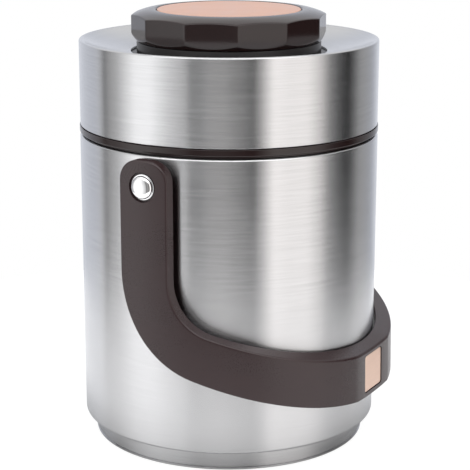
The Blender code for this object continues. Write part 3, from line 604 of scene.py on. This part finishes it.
def dress(node, obj, sharp=SHARP, look=None):
    """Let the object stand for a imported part, with its body, and its finish or the look given."""
    obj.data.shade_smooth()
    obj.data.set_sharp_from_angle(angle=math.radians(sharp))
    even = obj.modifiers.new("even_shading", "WEIGHTED_NORMAL")
    even.keep_sharp = True
    obj.data.materials.clear()
    obj.data.materials.append(LOOKS[look or SLOT_OF[node]])
    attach(obj, BODY_OF[node])
    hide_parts(node)


def turned(node, outline, segments=FINE, tools=(), look=None):
    """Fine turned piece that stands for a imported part."""
    obj = object_from(node + "_fine", spin(outline, segments))
    if tools:
        combine(obj, tools)
    dress(node, obj, look=look)


# Pot

def outer_shell():
    """Steel skin with rounded top and bottom edges."""
    body = radius("outer_shell")
    bottom = low("outer_shell")
    corner = body - BODY_EDGE
    inside = BODY_EDGE - SHELL_WALL
    foot_hole = radius("base_cup") + GAP
    hem = SHELL_WALL / 2
    outline = [(foot_hole, bottom + SHELL_WALL), (foot_hole, bottom)]
    outline += rounded(body, bottom, BODY_EDGE, -90, 10) + rounded(body, BODY_TOP, BODY_RIM, 0, 10)
    outline += [(NECK_RADIUS + hem, BODY_TOP), (NECK_RADIUS, BODY_TOP + hem)]
    outline += arc((NECK_RADIUS - hem, NECK_TOP - hem), hem, 0, 180, 8)
    outline += [(NECK_RADIUS - SHELL_WALL, BODY_TOP - SHELL_WALL)]
    outline += arc((corner, BODY_TOP - BODY_EDGE), inside, 90, 0, 4)
    outline += arc((corner, bottom + BODY_EDGE), inside, 0, -90, 4)
    turned("outer_shell", outline)


def base_cup():
    """Steel foot with a pressed ring below, a rounded lower edge and a fine line rolled in over it."""
    foot = radius("base_cup")
    top = high("base_cup")
    inner = foot - SHELL_WALL
    groove_in, groove_out, depth = FOOT_GROOVE
    ridge = depth + SHELL_WALL
    outline = [(0.0, 0.0), (groove_in, 0.0), (groove_in + depth, depth)]
    outline += [(groove_out - depth, depth), (groove_out, 0.0)]
    outline += rounded(foot, 0.0, FOOT_EDGE, -90, 8)
    line_low, line_high, line_depth = FOOT_LINE
    line_in = foot - line_depth
    outline += [(foot, line_low), (line_in, line_low + line_depth / 2), (line_in, line_high - line_depth / 2)]
    outline += [(foot, line_high), (foot, top), (inner, top), (inner, SHELL_WALL)]
    outline += [(groove_out + SHELL_WALL / 2, SHELL_WALL), (groove_out - depth, ridge)]
    outline += [(groove_in + depth, ridge), (groove_in - SHELL_WALL / 2, SHELL_WALL), (0.0, SHELL_WALL)]
    turned("base_cup", outline)


def inner_liner():
    """Polished vessel with a rolled rim."""
    bottom = low("inner_liner")
    wall = SHELL_WALL
    corner = LINER_CORNER + wall
    hem = wall / 2
    rim_low = RIM_TOP - wall
    outline = [(0.0, bottom)] + rounded(LINER_OUTER, bottom, corner, -90, 14) + [(LINER_OUTER, rim_low)]
    outline += arc((RING_OUTER - hem, rim_low + hem), hem, -90, 90, 8)
    outline += rounded(LINER_INNER, RIM_TOP, wall, 90, 6)
    outline += arc((LINER_OUTER - corner, bottom + corner), LINER_CORNER, 0, -90, 14)
    outline.append((0.0, bottom + wall))
    turned("inner_liner", outline)


def neck_ring():
    """Ring round the neck with four lugs."""
    inner = RING_OUTER - RING_WALL
    flange = radius("neck_ring")
    bottom = low("neck_ring")
    chamfer = RING_WALL / 4
    outline = [(inner, bottom), (flange, bottom), (flange, bottom + RING_FLANGE - chamfer)]
    outline += [(flange - chamfer, bottom + RING_FLANGE), (RING_OUTER, bottom + RING_FLANGE)]
    outline += [(RING_OUTER, NECK_TOP - chamfer), (RING_OUTER - chamfer, NECK_TOP), (inner, NECK_TOP)]
    lug_top = NECK_LUG_LOW + LUG_HEIGHT
    tools = lugs(inner + RING_WALL / 2, LUG_RADIUS, NECK_LUG_LOW, lug_top, 0.0)
    turned("neck_ring", outline, tools=tools)


# Lid

def lid_cover():
    """Steel skin of the lid: straight side, rounded edge, dished top, hemmed lower edge."""
    cover = radius("lid_cover")
    bottom = low("lid_cover")
    hole = COLLAR_RADIUS + COLLAR_REVEAL
    rim = cover - DISH_RIM
    hem = COVER_WALL / 2
    dish = []
    for share in shares(28):
        dish.append((part_way(rim, hole, share), DISH_LOW + DISH_DEPTH * (1.0 - share) ** 2))
    outline = arc((cover - hem, bottom + hem), hem, -180, 0, 8)
    outline += rounded(cover, COVER_TOP, COVER_EDGE, 0, 10) + dish
    outline += [(out, height - COVER_WALL) for out, height in reversed(dish[1:])]
    outline += [(cover - COVER_WALL, COVER_TOP - COVER_EDGE - COVER_WALL)]
    turned("lid_cover", outline)


def lid_trim_ring():
    """Brown ring under the cover's lower edge."""
    outer = radius("lid_trim_ring")
    inner = SKIRT_OUTER + 2 * GAP
    bottom, top = low("lid_trim_ring"), high("lid_trim_ring")
    edge = (top - bottom) / TRIM_EDGE_PARTS
    outline = [(inner, bottom)] + rounded(outer, bottom, edge, -90, 6)
    outline += rounded(outer, top, edge / 2, 0, 4) + [(inner, top)]
    turned("lid_trim_ring", outline, look="brown_gloss")


def lid_liner():
    """Plastic inside of the lid: skirt with lugs, ceiling and gasket rib."""
    skirt_low = low("lid_liner")
    ceiling_low = CEILING_TOP - CEILING_THICKNESS
    rib_outer = LINER_INNER - GAP
    rib_inner = rib_outer - GASKET_RIB_WALL
    rib_low = RIM_TOP + 2 * GAP
    edge = GASKET_RIB_WALL / 3
    outline = [(VENT_RADIUS, ceiling_low), (rib_inner, ceiling_low)]
    outline += rounded(rib_inner, rib_low, edge, -180, 4) + rounded(rib_outer, rib_low, edge, -90, 4)
    outline += [(rib_outer, ceiling_low), (SKIRT_INNER, ceiling_low)]
    outline += rounded(SKIRT_INNER, skirt_low, edge, -180, 4) + rounded(SKIRT_OUTER, skirt_low, edge, -90, 4)
    outline += [(SKIRT_OUTER, CEILING_TOP), (VENT_RADIUS, CEILING_TOP)]
    lug_top = NECK_LUG_LOW - LUG_CLEARANCE
    tools = lugs(SKIRT_INNER - LUG_REACH, SKIRT_INNER + SKIRT_WALL / 2, lug_top - LUG_HEIGHT, lug_top, 0.5)
    turned("lid_liner", outline, tools=tools)


def lid_gasket():
    """Silicone ring with rounded edges."""
    bottom, top = low("lid_gasket"), high("lid_gasket")
    edge = (top - bottom) / 3
    turned("lid_gasket", rounded_box(LINER_INNER, radius("lid_gasket"), bottom, top, edge, 5))


def knob_collar():
    """Plastic cup that the knob turns in."""
    bottom, top = low("knob_collar"), high("knob_collar")
    flange_outer = radius("knob_collar")
    flange_top = DISH_LOW - COVER_WALL - GAP
    flange_low = flange_top - FLANGE_THICKNESS
    floor_low = WELL_TOP - WELL_FLOOR
    guide = GUIDE_BORE + GUIDE_WALL
    edge = COLLAR_WALL / 5
    outline = [(GUIDE_BORE, bottom), (guide, bottom), (guide, floor_low), (COLLAR_RADIUS, floor_low)]
    outline += [(COLLAR_RADIUS, flange_low), (flange_outer, flange_low), (flange_outer, flange_top)]
    outline += [(COLLAR_RADIUS, flange_top)]
    outline += rounded(COLLAR_RADIUS, top, edge, 0, 5)
    outline += rounded(COLLAR_RADIUS - COLLAR_WALL, top, edge, 90, 5)
    outline += [(COLLAR_RADIUS - COLLAR_WALL, WELL_TOP), (STEM_BORE, WELL_TOP)]
    outline += [(STEM_BORE, floor_low), (GUIDE_BORE, floor_low)]
    turned("knob_collar", outline)


# Knob and vent

def soft_least(first, second, softness):
    """The smaller of two lengths, with a rounded change from one to the other."""
    near = max(softness - abs(first - second), 0.0) / softness
    return min(first, second) - near * near * softness / 4


def facet_radius(turn):
    """Distance from the axis to the knob's twelve flat sides, at an angle in degrees."""
    side = 360.0 / KNOB_SIDES
    flat = KNOB_RADIUS * math.cos(math.radians(side / 2))
    from_corner = (turn - KNOB_TURN + 90.0) % side
    here = flat / math.cos(math.radians(from_corner - side / 2))
    beyond = side - from_corner if from_corner > side / 2 else -from_corner
    other = flat / math.cos(math.radians(side / 2 + abs(beyond)))
    return soft_least(here, other, KNOB_SOFTNESS)


def knob_outline():
    """Outline of the knob before its sides are cut flat."""
    hub = STEM_BORE + HUB_WALL
    hub_low = low("knob")
    roof = KNOB_HIGH - KNOB_TOP
    spigot = COLLAR_RADIUS - COLLAR_WALL - 2 * GAP
    spigot_low = KNOB_LOW - SPIGOT_DEPTH
    recess = KNOB_HIGH - DISC_RECESS - GAP
    past_corner = KNOB_RADIUS + COLLAR_WALL
    rise = (KNOB_RADIUS - COLLAR_RADIUS) / KNOB_UNDERCUT
    shoulder = KNOB_HIGH - KNOB_CROWN
    crown = KNOB_HIGH - DISC_PROUD
    inner = DISC_RADIUS + 4 * GAP
    outline = [(STEM_BORE, hub_low), (hub, hub_low), (hub, roof), (spigot - SPIGOT_WALL, roof)]
    outline += [(spigot - SPIGOT_WALL, spigot_low), (spigot, spigot_low), (spigot, KNOB_LOW)]
    chamfer_top = KNOB_LOW + (past_corner - COLLAR_RADIUS) / rise
    for share in shares(22):
        outline.append((part_way(COLLAR_RADIUS, past_corner, share), part_way(KNOB_LOW, chamfer_top, share)))
    outline += [(past_corner, part_way(chamfer_top, shoulder, share)) for share in shares(5)[1:-1]]
    for share in shares(44):
        rounding = math.sin(share * math.pi / 2)
        outline.append((part_way(past_corner, inner, share), part_way(shoulder, crown, rounding)))
    lip = DISC_RADIUS + GAP
    outline += rounded(lip, crown, 3 * GAP, 90, 5)[1:]
    outline += [(lip, recess), (0.0, recess), (0.0, roof - GAP), (STEM_BORE, roof - GAP)]
    return outline


def knob():
    """Twelve-sided knob: the turned outline, drawn in to the flat sides."""
    per_side = 24
    side = 360.0 / KNOB_SIDES
    turns = []
    for index in range(KNOB_SIDES):
        for step in range(per_side):
            share = 2.0 * step / per_side
            near = 0.5 * min(share, 2.0 - share) ** KNOB_CROWDING
            turns.append(KNOB_TURN - 90.0 + side * (index + (near if share <= 1.0 else 1.0 - near)))
    shape = bmesh.new()
    rings = []
    for out, height in knob_outline():
        if out < ON_AXIS:
            rings.append(circle(shape, out, height, 1))
            continue
        ring = []
        for turn in turns:
            reach = out
            if out > COLLAR_RADIUS - COLLAR_WALL / 2 and height >= KNOB_LOW:
                reach = soft_least(out, facet_radius(turn), KNOB_BLEND)
            angle = math.radians(turn)
            ring.append(shape.verts.new((reach * math.cos(angle), reach * math.sin(angle), height)))
        rings.append(ring)
    join(shape, rings + rings[:1])
    dress("knob", object_from("knob_fine", shape), sharp=40.0, look="brown_gloss")


def knob_disc():
    """Rose-coloured disc, gently domed, with a softly broken edge."""
    bottom, top = low("knob_disc"), high("knob_disc")
    rim = top - DISC_FALL
    edge = (rim - bottom) * DISC_EDGE
    outline = [(0.0, bottom), (DISC_RADIUS, bottom)]
    outline += arc((DISC_RADIUS - edge, rim - edge), edge, *DISC_BREAK, 4)
    for share in shares(14)[1:-1]:
        outline.append(((DISC_RADIUS - edge) * (1.0 - share), top - DISC_FALL * (1.0 - share) ** 2))
    outline.append((0.0, top))
    turned("knob_disc", outline)


def vent_stem():
    """Stem with a broad head."""
    head = radius("vent_stem")
    bottom, top = low("vent_stem"), high("vent_stem")
    shoulder = bottom + STEM_HEAD
    edge = STEM_RADIUS / STEM_EDGE_PARTS
    outline = [(0.0, bottom)] + rounded(head, bottom, edge, -90, 4) + rounded(head, shoulder, edge, 0, 4)
    outline += [(STEM_RADIUS, shoulder)] + rounded(STEM_RADIUS, top, edge, 0, 4) + [(0.0, top)]
    turned("vent_stem", outline, SMALL)


# Bowls

def bowl(node):
    """Spun steel bowl with a rounded rim, and its plug lid and seal."""
    size = radius(node)
    bottom, rim = low(node), high(node)
    inner = size - BOWL_WALL
    outline = [(0.0, bottom)] + rounded(size, bottom, BOWL_CORNER, -90, 14)
    outline += arc((size - BOWL_BEAD, rim - BOWL_BEAD), BOWL_BEAD, 0, 180, 10)
    outline += arc((size - BOWL_CORNER, bottom + BOWL_CORNER), BOWL_CORNER - BOWL_WALL, 0, -90, 14)
    outline.append((0.0, bottom + BOWL_WALL))
    turned(node, outline)
    bowl_lid(node, size, inner)
    bowl_seal(node, inner)


def bowl_lid(node, size, inner):
    """Plug lid with a sunk middle and a grip across it."""
    bottom, top = low(node + "_lid"), high(node + "_lid")
    flange_low = high(node) + GAP
    plug = inner - 2 * GAP - SEAL_WIDTH
    plug_inner = plug - PLUG_WALL
    floor_top = top - PLUG_DISH
    floor_low = floor_top - PLUG_FLOOR
    edge = (top - flange_low) / 4
    outline = [(0.0, floor_low), (plug_inner, floor_low), (plug_inner, bottom), (inner - 2 * GAP, bottom)]
    outline += [(inner - 2 * GAP, bottom + SEAL_LIP), (plug, bottom + SEAL_LIP), (plug, flange_low)]
    outline += rounded(size, flange_low, edge, -90, 5) + rounded(size, top, edge, 0, 5)
    outline += rounded(plug_inner, top, edge, 90, 5)
    outline += [(plug_inner, floor_top), (0.0, floor_top)]
    grip = rounded_box(-GRIP_LENGTH / 2, GRIP_LENGTH / 2, floor_low + GAP, top - GAP, GAP * 3, 4)
    turned(node + "_lid", outline, tools=[(prism(grip, -GRIP_WIDTH / 2, GRIP_WIDTH), "UNION")])


def bowl_seal(node, inner):
    """Round-edged silicone ring in the plug's groove."""
    seal = node + "_seal"
    outer = radius(seal)
    ring_in = inner - GAP - SEAL_WIDTH
    edge = (outer - ring_in) / SEAL_EDGE_PARTS
    turned(seal, rounded_box(ring_in, outer, low(seal), high(seal), edge, 4))


# Handle and pivots

def strap_low(y):
    """Height of the strap's lower edge."""
    return STRAP_LOW + math.tan(math.radians(STRAP_SLOPE)) * (y + HANDLE_RADIUS)


def handle_stations(inset):
    """Cuts across half of the handle, from the arm's top to the front, with the outline drawn in by inset.

    Each is (lower edge, upper edge, share), where the edges are (y, z) and
    share says how far the inner wall follows round the pot.
    """
    slope = math.radians(STRAP_SLOPE)
    inward = inset / math.cos(slope)
    outer_y = ARM_HALF_WIDTH - OUTER_BEND
    inner_y = -ARM_HALF_WIDTH - INNER_BEND
    outer_z = strap_low(outer_y) + OUTER_BEND / math.cos(slope)
    inner_z = strap_low(inner_y) + STRAP_LIFT + INNER_BEND / math.cos(slope)
    corner_z = PIVOT_HEIGHT + ARM_TOP - ARM_CORNER
    corner_y = ARM_HALF_WIDTH - ARM_CORNER
    side = ARM_HALF_WIDTH - inset
    end = arc((corner_y, corner_z), ARM_CORNER - inset, 90, 0, 12)
    stations = [((y, z), (-y, z), 0.0) for y, z in end]
    for share in ARM_CUTS:
        lower = (side, part_way(corner_z, outer_z, share))
        upper = (-side, part_way(corner_z, inner_z, share))
        stations.append((lower, upper, 0.0))
    bend = 90.0 - STRAP_SLOPE
    lows = arc((outer_y, outer_z), OUTER_BEND - inset, 0, -bend, 20)
    highs = arc((inner_y, inner_z), INNER_BEND + inset, 0, -bend, 20)
    stations += [(lower, upper, 0.0) for lower, upper in zip(lows, highs)]
    low_start = math.acos(-lows[-1][0] / HANDLE_RADIUS)
    high_start = math.acos(-highs[-1][0] / HANDLE_RADIUS)
    even = math.radians(EVEN_ANGLE)
    pad_angle = math.acos(PAD_FACE / (1.0 - STRAP_DRAW * (PAD_FACE / HANDLE_RADIUS) ** 4) / HANDLE_RADIUS)
    angles = []
    for share in shares(12)[1:]:
        angles.append((part_way(low_start, even, share), part_way(high_start, even, share), share))
    front = [part_way(pad_angle, even, share) for share in STRAP_CUTS]
    front += [pad_angle * share for share in PAD_CUTS]
    angles += [(angle, angle, 1.0) for angle in front]
    for low_angle, high_angle, share in angles:
        low_y = -HANDLE_RADIUS * math.cos(low_angle)
        high_y = -HANDLE_RADIUS * math.cos(high_angle)
        lower = (low_y, strap_low(low_y) + inward)
        upper = (high_y, strap_low(high_y) + STRAP_LIFT - inward)
        stations.append((lower, upper, share))
    return stations


def handle_point(y, z, share, outside):
    """Place on the handle's outer or inner wall, for its left half."""
    turn = min(1.0, max(0.0, -y / HANDLE_RADIUS))
    if outside:
        lean = share * math.tan(math.radians(STRAP_LEAN)) * (strap_low(y) + STRAP_LIFT - z)
        grown = 1.0 + lean / HANDLE_RADIUS
        across = math.sqrt(max(0.0, HANDLE_RADIUS ** 2 - y ** 2))
        drawn = y * grown * (1.0 - STRAP_DRAW * turn ** 4)
        return Vector((-across * grown, max(drawn, -PAD_FACE - lean, HANDLE_FRONT), z))
    out = ARM_INNER + (STRAP_FRONT - ARM_INNER) * turn * turn
    inner_y = y * (1.0 + share * (out / HANDLE_RADIUS - 1.0))
    inner_z = z + math.tan(math.radians(STRAP_SLOPE)) * (inner_y - y)
    across = math.sqrt(max(0.0, out ** 2 - inner_y ** 2))
    return Vector((-across, inner_y, inner_z))


def badge_outline(grown=0.0):
    """Outline of the badge, or one larger all round."""
    across = BADGE_WIDTH / 2 + grown
    up = BADGE_HEIGHT / 2 + grown
    return rounded_box(-across, across, BADGE_MIDDLE - up, BADGE_MIDDLE + up, BADGE_CORNER + grown, 8)


def leaned(shape):
    """The shape, tipped about the top of the pad to lie along the leaning face."""
    tip = Matrix.Rotation(math.radians(-STRAP_LEAN), 3, "X")
    bmesh.ops.rotate(shape, cent=PAD_TOP, matrix=tip, verts=shape.verts)
    return shape


def handle_depth(y, z, share, outside, depth):
    """Place at a depth under the handle's outer or inner wall."""
    outer = handle_point(y, z, share, True)
    inner = handle_point(y, z, share, False)
    way = (inner - outer).normalized()
    return outer + way * depth if outside else inner - way * depth


def handle_ring(cuts, rounding, index, rows):
    """Points round one cut through the handle: outer face, upper edge, inner face, lower edge."""
    lower, upper, share = cuts[0][index]
    face = [(part_way(lower[0], upper[0], part), part_way(lower[1], upper[1], part)) for part in shares(rows)]
    points = [handle_point(y, z, share, True) for y, z in face]
    steps = range(1, len(rounding))
    turn = [(step, True) for step in steps] + [(step, False) for step in reversed(steps)]
    for step, outside in turn:
        y, z = cuts[step][index][1]
        points.append(handle_depth(y, z, share, outside, rounding[step][1]))
    points += [handle_point(y, z, share, False) for y, z in reversed(face)]
    for step, outside in reversed(turn):
        y, z = cuts[step][index][0]
        points.append(handle_depth(y, z, share, outside, rounding[step][1]))
    return points


def close_arm(shape, ring, rows, turns):
    """Rounded end face over the top of an arm."""
    rises = ring[rows + 1:rows + 1 + turns]
    falls = ring[:2 * rows + 1 + turns:-1]
    lines = [ring[:rows + 1]]
    for fall, rise in zip(falls, rises):
        line = [fall]
        for row in range(1, rows):
            place = fall.co.lerp(rise.co, row / rows)
            out = math.hypot(fall.co.x, fall.co.y)
            place.x = math.copysign(math.sqrt(out ** 2 - place.y ** 2), fall.co.x)
            line.append(shape.verts.new(place))
        lines.append(line + [rise])
    lines.append(ring[rows + 1 + turns:2 * rows + 2 + turns][::-1])
    for near, far in zip(lines, lines[1:]):
        for row in range(rows):
            shape.faces.new((near[row], near[row + 1], far[row + 1], far[row]))


def handle():
    """Moulded U-shaped handle with rounded edges, pivot bores and a pocket for its badge."""
    steps = 5
    rounding = []
    for share in shares(steps):
        angle = math.pi / 2 * (1.0 - share)
        rounding.append((HANDLE_EDGE * (1.0 - math.cos(angle)), HANDLE_EDGE * (1.0 - math.sin(angle))))
    cuts = [handle_stations(inset) for inset, _ in rounding]
    rows = 6
    shape = bmesh.new()
    rings = []
    last = len(cuts[0]) - 1
    for index in list(range(last + 1)) + list(range(last - 1, -1, -1)):
        points = handle_ring(cuts, rounding, index, rows)
        if len(rings) > last:
            points = [Vector((-point.x, point.y, point.z)) for point in points]
        rings.append([shape.verts.new(point) for point in points])
    join(shape, rings)
    for ring in (rings[0], rings[-1]):
        close_arm(shape, ring, rows, 2 * steps)
    obj = object_from("handle_fine", shape)
    seat, seat_in = WASHER_SEAT
    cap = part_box("pivot_cap_left")[1].y + CAP_PLAY
    near = ARM_INNER - BORE_START
    far = HANDLE_RADIUS + BORE_END
    bore = [(0.0, near), (seat, near), (seat, seat_in), (BUSH_BORE, seat_in), (BUSH_BORE, RECESS_IN)]
    bore += [(cap, RECESS_IN), (cap, HANDLE_RADIUS - 2 * GAP), (cap + GAP, HANDLE_RADIUS)]
    bore += [(cap + GAP, far), (0.0, far)]
    tools = [(on_pivot(bore, side, BORE_FINE), "DIFFERENCE") for side in (-1, 1)]
    pocket = prism(badge_outline(GAP), -PAD_FACE + BADGE_RECESS, -2 * BADGE_RECESS)
    tools.append((leaned(pocket), "DIFFERENCE"))
    combine(obj, tools)
    dress("handle", obj, sharp=34.0)


def handle_badge():
    """Plain rose-coloured plate with softly broken edges."""
    back = -PAD_FACE + BADGE_RECESS - GAP
    obj = object_from("handle_badge_fine", leaned(prism(badge_outline(), back, -BADGE_THICKNESS)))
    rounding = obj.modifiers.new("edges", "BEVEL")
    rounding.limit_method = "ANGLE"
    rounding.angle_limit = math.radians(50.0)
    rounding.width = BADGE_EDGE
    rounding.segments = 3
    settle(obj)
    dress("handle_badge", obj, look="badge_metal")


def pivot_caps():
    """Domed caps with a thin rim, one on each side."""
    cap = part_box("pivot_cap_left")[1].y
    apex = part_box("pivot_cap_right")[1].x
    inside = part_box("pivot_cap_right")[0].x
    hole = STUD_HOLE
    rim_top = HANDLE_RADIUS - CAP_SINK
    outline = [(hole, inside), (cap, inside)] + rounded(cap, rim_top, CAP_BEAD, 0, 4)
    for share in shares(18)[:-1]:
        angle = math.pi / 2 * share
        rise = math.sin(angle) ** CAP_FLATNESS
        outline.append(((cap - CAP_RIM) * math.cos(angle) ** CAP_FLATNESS, part_way(rim_top, apex, rise)))
    bore_end = (apex + HANDLE_RADIUS) / 2
    outline += [(0.0, apex), (0.0, bore_end), (hole, bore_end)]
    for side, word in ((-1, "left"), (1, "right")):
        obj = object_from(f"pivot_cap_{word}_fine", on_pivot(outline, side))
        dress("pivot_cap_" + word, obj)


def carried_parts():
    """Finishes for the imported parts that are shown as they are."""
    for node, obj in frame["nodes"].items():
        if not obj.hide_render:
            obj.data.materials.clear()
            obj.data.materials.append(LOOKS[SLOT_OF[node]])


# Studio

def camera():
    """Camera at the photograph's place."""
    pitch = math.radians(CAMERA_PITCH)
    data = bpy.data.cameras.new("camera")
    data.lens = CAMERA_LENS
    data.sensor_width = SENSOR_WIDTH
    data.shift_x, data.shift_y = CAMERA_SHIFT
    obj = bpy.data.objects.new("camera", data)
    obj.location = -VIEW * CAMERA_DISTANCE + Vector((0.0, 0.0, CAMERA_HEIGHT))
    aim = VIEW * math.cos(pitch) - Vector((0.0, 0.0, math.sin(pitch)))
    obj.rotation_euler = aim.to_track_quat("-Z", "Y").to_euler()
    bpy.context.scene.collection.objects.link(obj)
    bpy.context.scene.camera = obj


def plain_world():
    """Even white surroundings."""
    world = bpy.data.worlds.new("white")
    world.use_nodes = True
    wire(world.node_tree, world.node_tree.nodes["Background"], {"Color": grey(1.0), "Strength": 1.0})
    bpy.context.scene.world = world


def grey(level):
    """Opaque grey colour."""
    return (level, level, level, 1.0)


def show(tree, shader, surface):
    """Put a surface in place of the tree's first shader."""
    tree.nodes.remove(shader)
    tree.links.new(surface, tree.nodes["Material Output"].inputs["Surface"])


def glowing_white(tree, glow, paleness, under=None):
    """White that glows by itself and also takes the light and shadow that fall on it."""
    lit = add(tree, "ShaderNodeBsdfDiffuse", {"Color": paleness}).outputs[0]
    own = add(tree, "ShaderNodeEmission", {"Strength": glow}).outputs[0]
    both = add(tree, "ShaderNodeAddShader", {0: own, 1: lit}).outputs[0]
    return add(tree, "ShaderNodeAddShader", {0: both, 1: under}).outputs[0] if under else both


def table():
    """Round white table under the pot, which keeps a faint shadow, and where it shows in metal a painted
    shadow round the pot.
    """
    made, tree, shader = new_tree("white_table")
    path = add(tree, "ShaderNodeLightPath").outputs
    plain = add(tree, "ShaderNodeBsdfDiffuse", {"Color": grey(TABLE_PLAIN)}).outputs[0]
    light, roughness = TABLE_SHEEN
    sheen = add(tree, "ShaderNodeBsdfAnisotropic", {"Color": grey(light), "Roughness": roughness}).outputs[0]
    # Painted shadow: where the table shows in metal, it is darker by the pot's foot and paler further out
    painted_shadow = remap(tree, distance(tree, place_of(tree)), *TABLE_PAINTED_SHADOW, TABLE_PAINTED_SHADOW_ENDS)
    reflected = glowing_white(tree, TABLE_GLOW, painted_shadow, sheen)
    mirrored = number(tree, "MAXIMUM", path["Is Glossy Ray"], path["Is Transmission Ray"])
    other = add(tree, "ShaderNodeMixShader", {0: mirrored, 1: plain, 2: reflected}).outputs[0]
    glow, paleness = TABLE_SEEN
    seen = glowing_white(tree, glow, grey(paleness))
    surface = add(tree, "ShaderNodeMixShader", {0: path["Is Camera Ray"], 1: other, 2: seen}).outputs[0]
    show(tree, shader, surface)
    bottom, top = TABLE_HEIGHTS
    outline = [(0.0, bottom), (TABLE_RADIUS, bottom), (TABLE_RADIUS, top), (0.0, top)]
    obj = object_from("table_top", spin(outline, MEDIUM))
    obj.data.materials.append(made)


def ramp(tree, share, stops):
    """Colour by bearing, from (degrees, colour) stops."""
    node = add(tree, "ShaderNodeValToRGB", {0: share})
    elements = node.color_ramp.elements
    while len(elements) > 1:
        elements.remove(elements[-1])
    for index, (degrees, colour) in enumerate(stops):
        where = degrees / 360.0 + 0.5
        element = elements[0] if index == 0 else elements.new(where)
        element.position = where
        element.color = (*colour, 1.0)
    return node.outputs[0]


def top_lamp():
    """Flat soft lamp high over the camera, which draws a bright line along rounded edges."""
    elevation, away, width, height, light = TOP_LAMP
    made, tree, shader = new_tree("top_lamp")
    show(tree, shader, add(tree, "ShaderNodeEmission", {"Strength": light}).outputs[0])
    shape = bmesh.new()
    corners = ((-1, -1), (1, -1), (1, 1), (-1, 1))
    shape.faces.new([shape.verts.new((x * width / 2, y * height / 2, 0.0)) for x, y in corners])
    obj = object_from("top_lamp", shape)
    lift = math.radians(elevation)
    out = Vector((0.0, 0.0, math.sin(lift))) - VIEW * math.cos(lift)
    obj.location = out * away + Vector((0.0, 0.0, BODY_TOP))
    obj.rotation_euler = out.to_track_quat("Z", "Y").to_euler()
    obj.data.materials.append(made)
    obj.visible_camera = False


def light_tent():
    """Round tent of soft panels, lighter and darker by turns, that lights the pot and shows in its steel."""
    made, tree, shader = new_tree("tent_panels")
    parts = add(tree, "ShaderNodeSeparateXYZ", {0: place_of(tree)}).outputs
    bearing = number(tree, "ARCTAN2", parts["Y"], parts["X"])
    share = number(tree, "MULTIPLY_ADD", bearing, 1.0 / math.tau, 0.5)
    levels = ramp(tree, share, [(degrees, (level / TENT_PEAK,) * 3) for degrees, level in TENT_PANELS])
    panels = vector(tree, "MULTIPLY", levels, ramp(tree, share, TENT_TINTS))
    fade = remap(tree, parts["Z"], 0.0, 1.0, (TENT_FADE, TENT_HIGH))
    change = vector(tree, "SUBTRACT", (1.0 / TENT_PEAK,) * 3, panels)
    faded = add(tree, "ShaderNodeVectorMath", {"Vector": change, "Scale": fade}, operation="SCALE").outputs[0]
    inputs = {"Color": vector(tree, "ADD", panels, faded), "Strength": TENT_PEAK}
    show(tree, shader, add(tree, "ShaderNodeEmission", inputs).outputs[0])
    shape = bmesh.new()
    join(shape, [circle(shape, TENT_RADIUS, height, MEDIUM) for height in (TENT_LOW, TENT_HIGH)])
    obj = object_from("light_tent", shape)
    obj.rotation_euler.z = math.radians(270.0) - BEARING
    obj.data.materials.append(made)
    obj.visible_camera = False


for build in (outer_shell, base_cup, inner_liner, neck_ring, lid_cover, lid_trim_ring, lid_liner, lid_gasket,
              knob_collar, knob, knob_disc, vent_stem):
    build()
for bowl_node in ("lower_bowl", "upper_bowl"):
    bowl(bowl_node)
for build in (handle, handle_badge, pivot_caps, carried_parts, camera, plain_world, table, light_tent,
              top_lamp):
    build()
bpy.context.scene.view_settings.view_transform = "Standard"
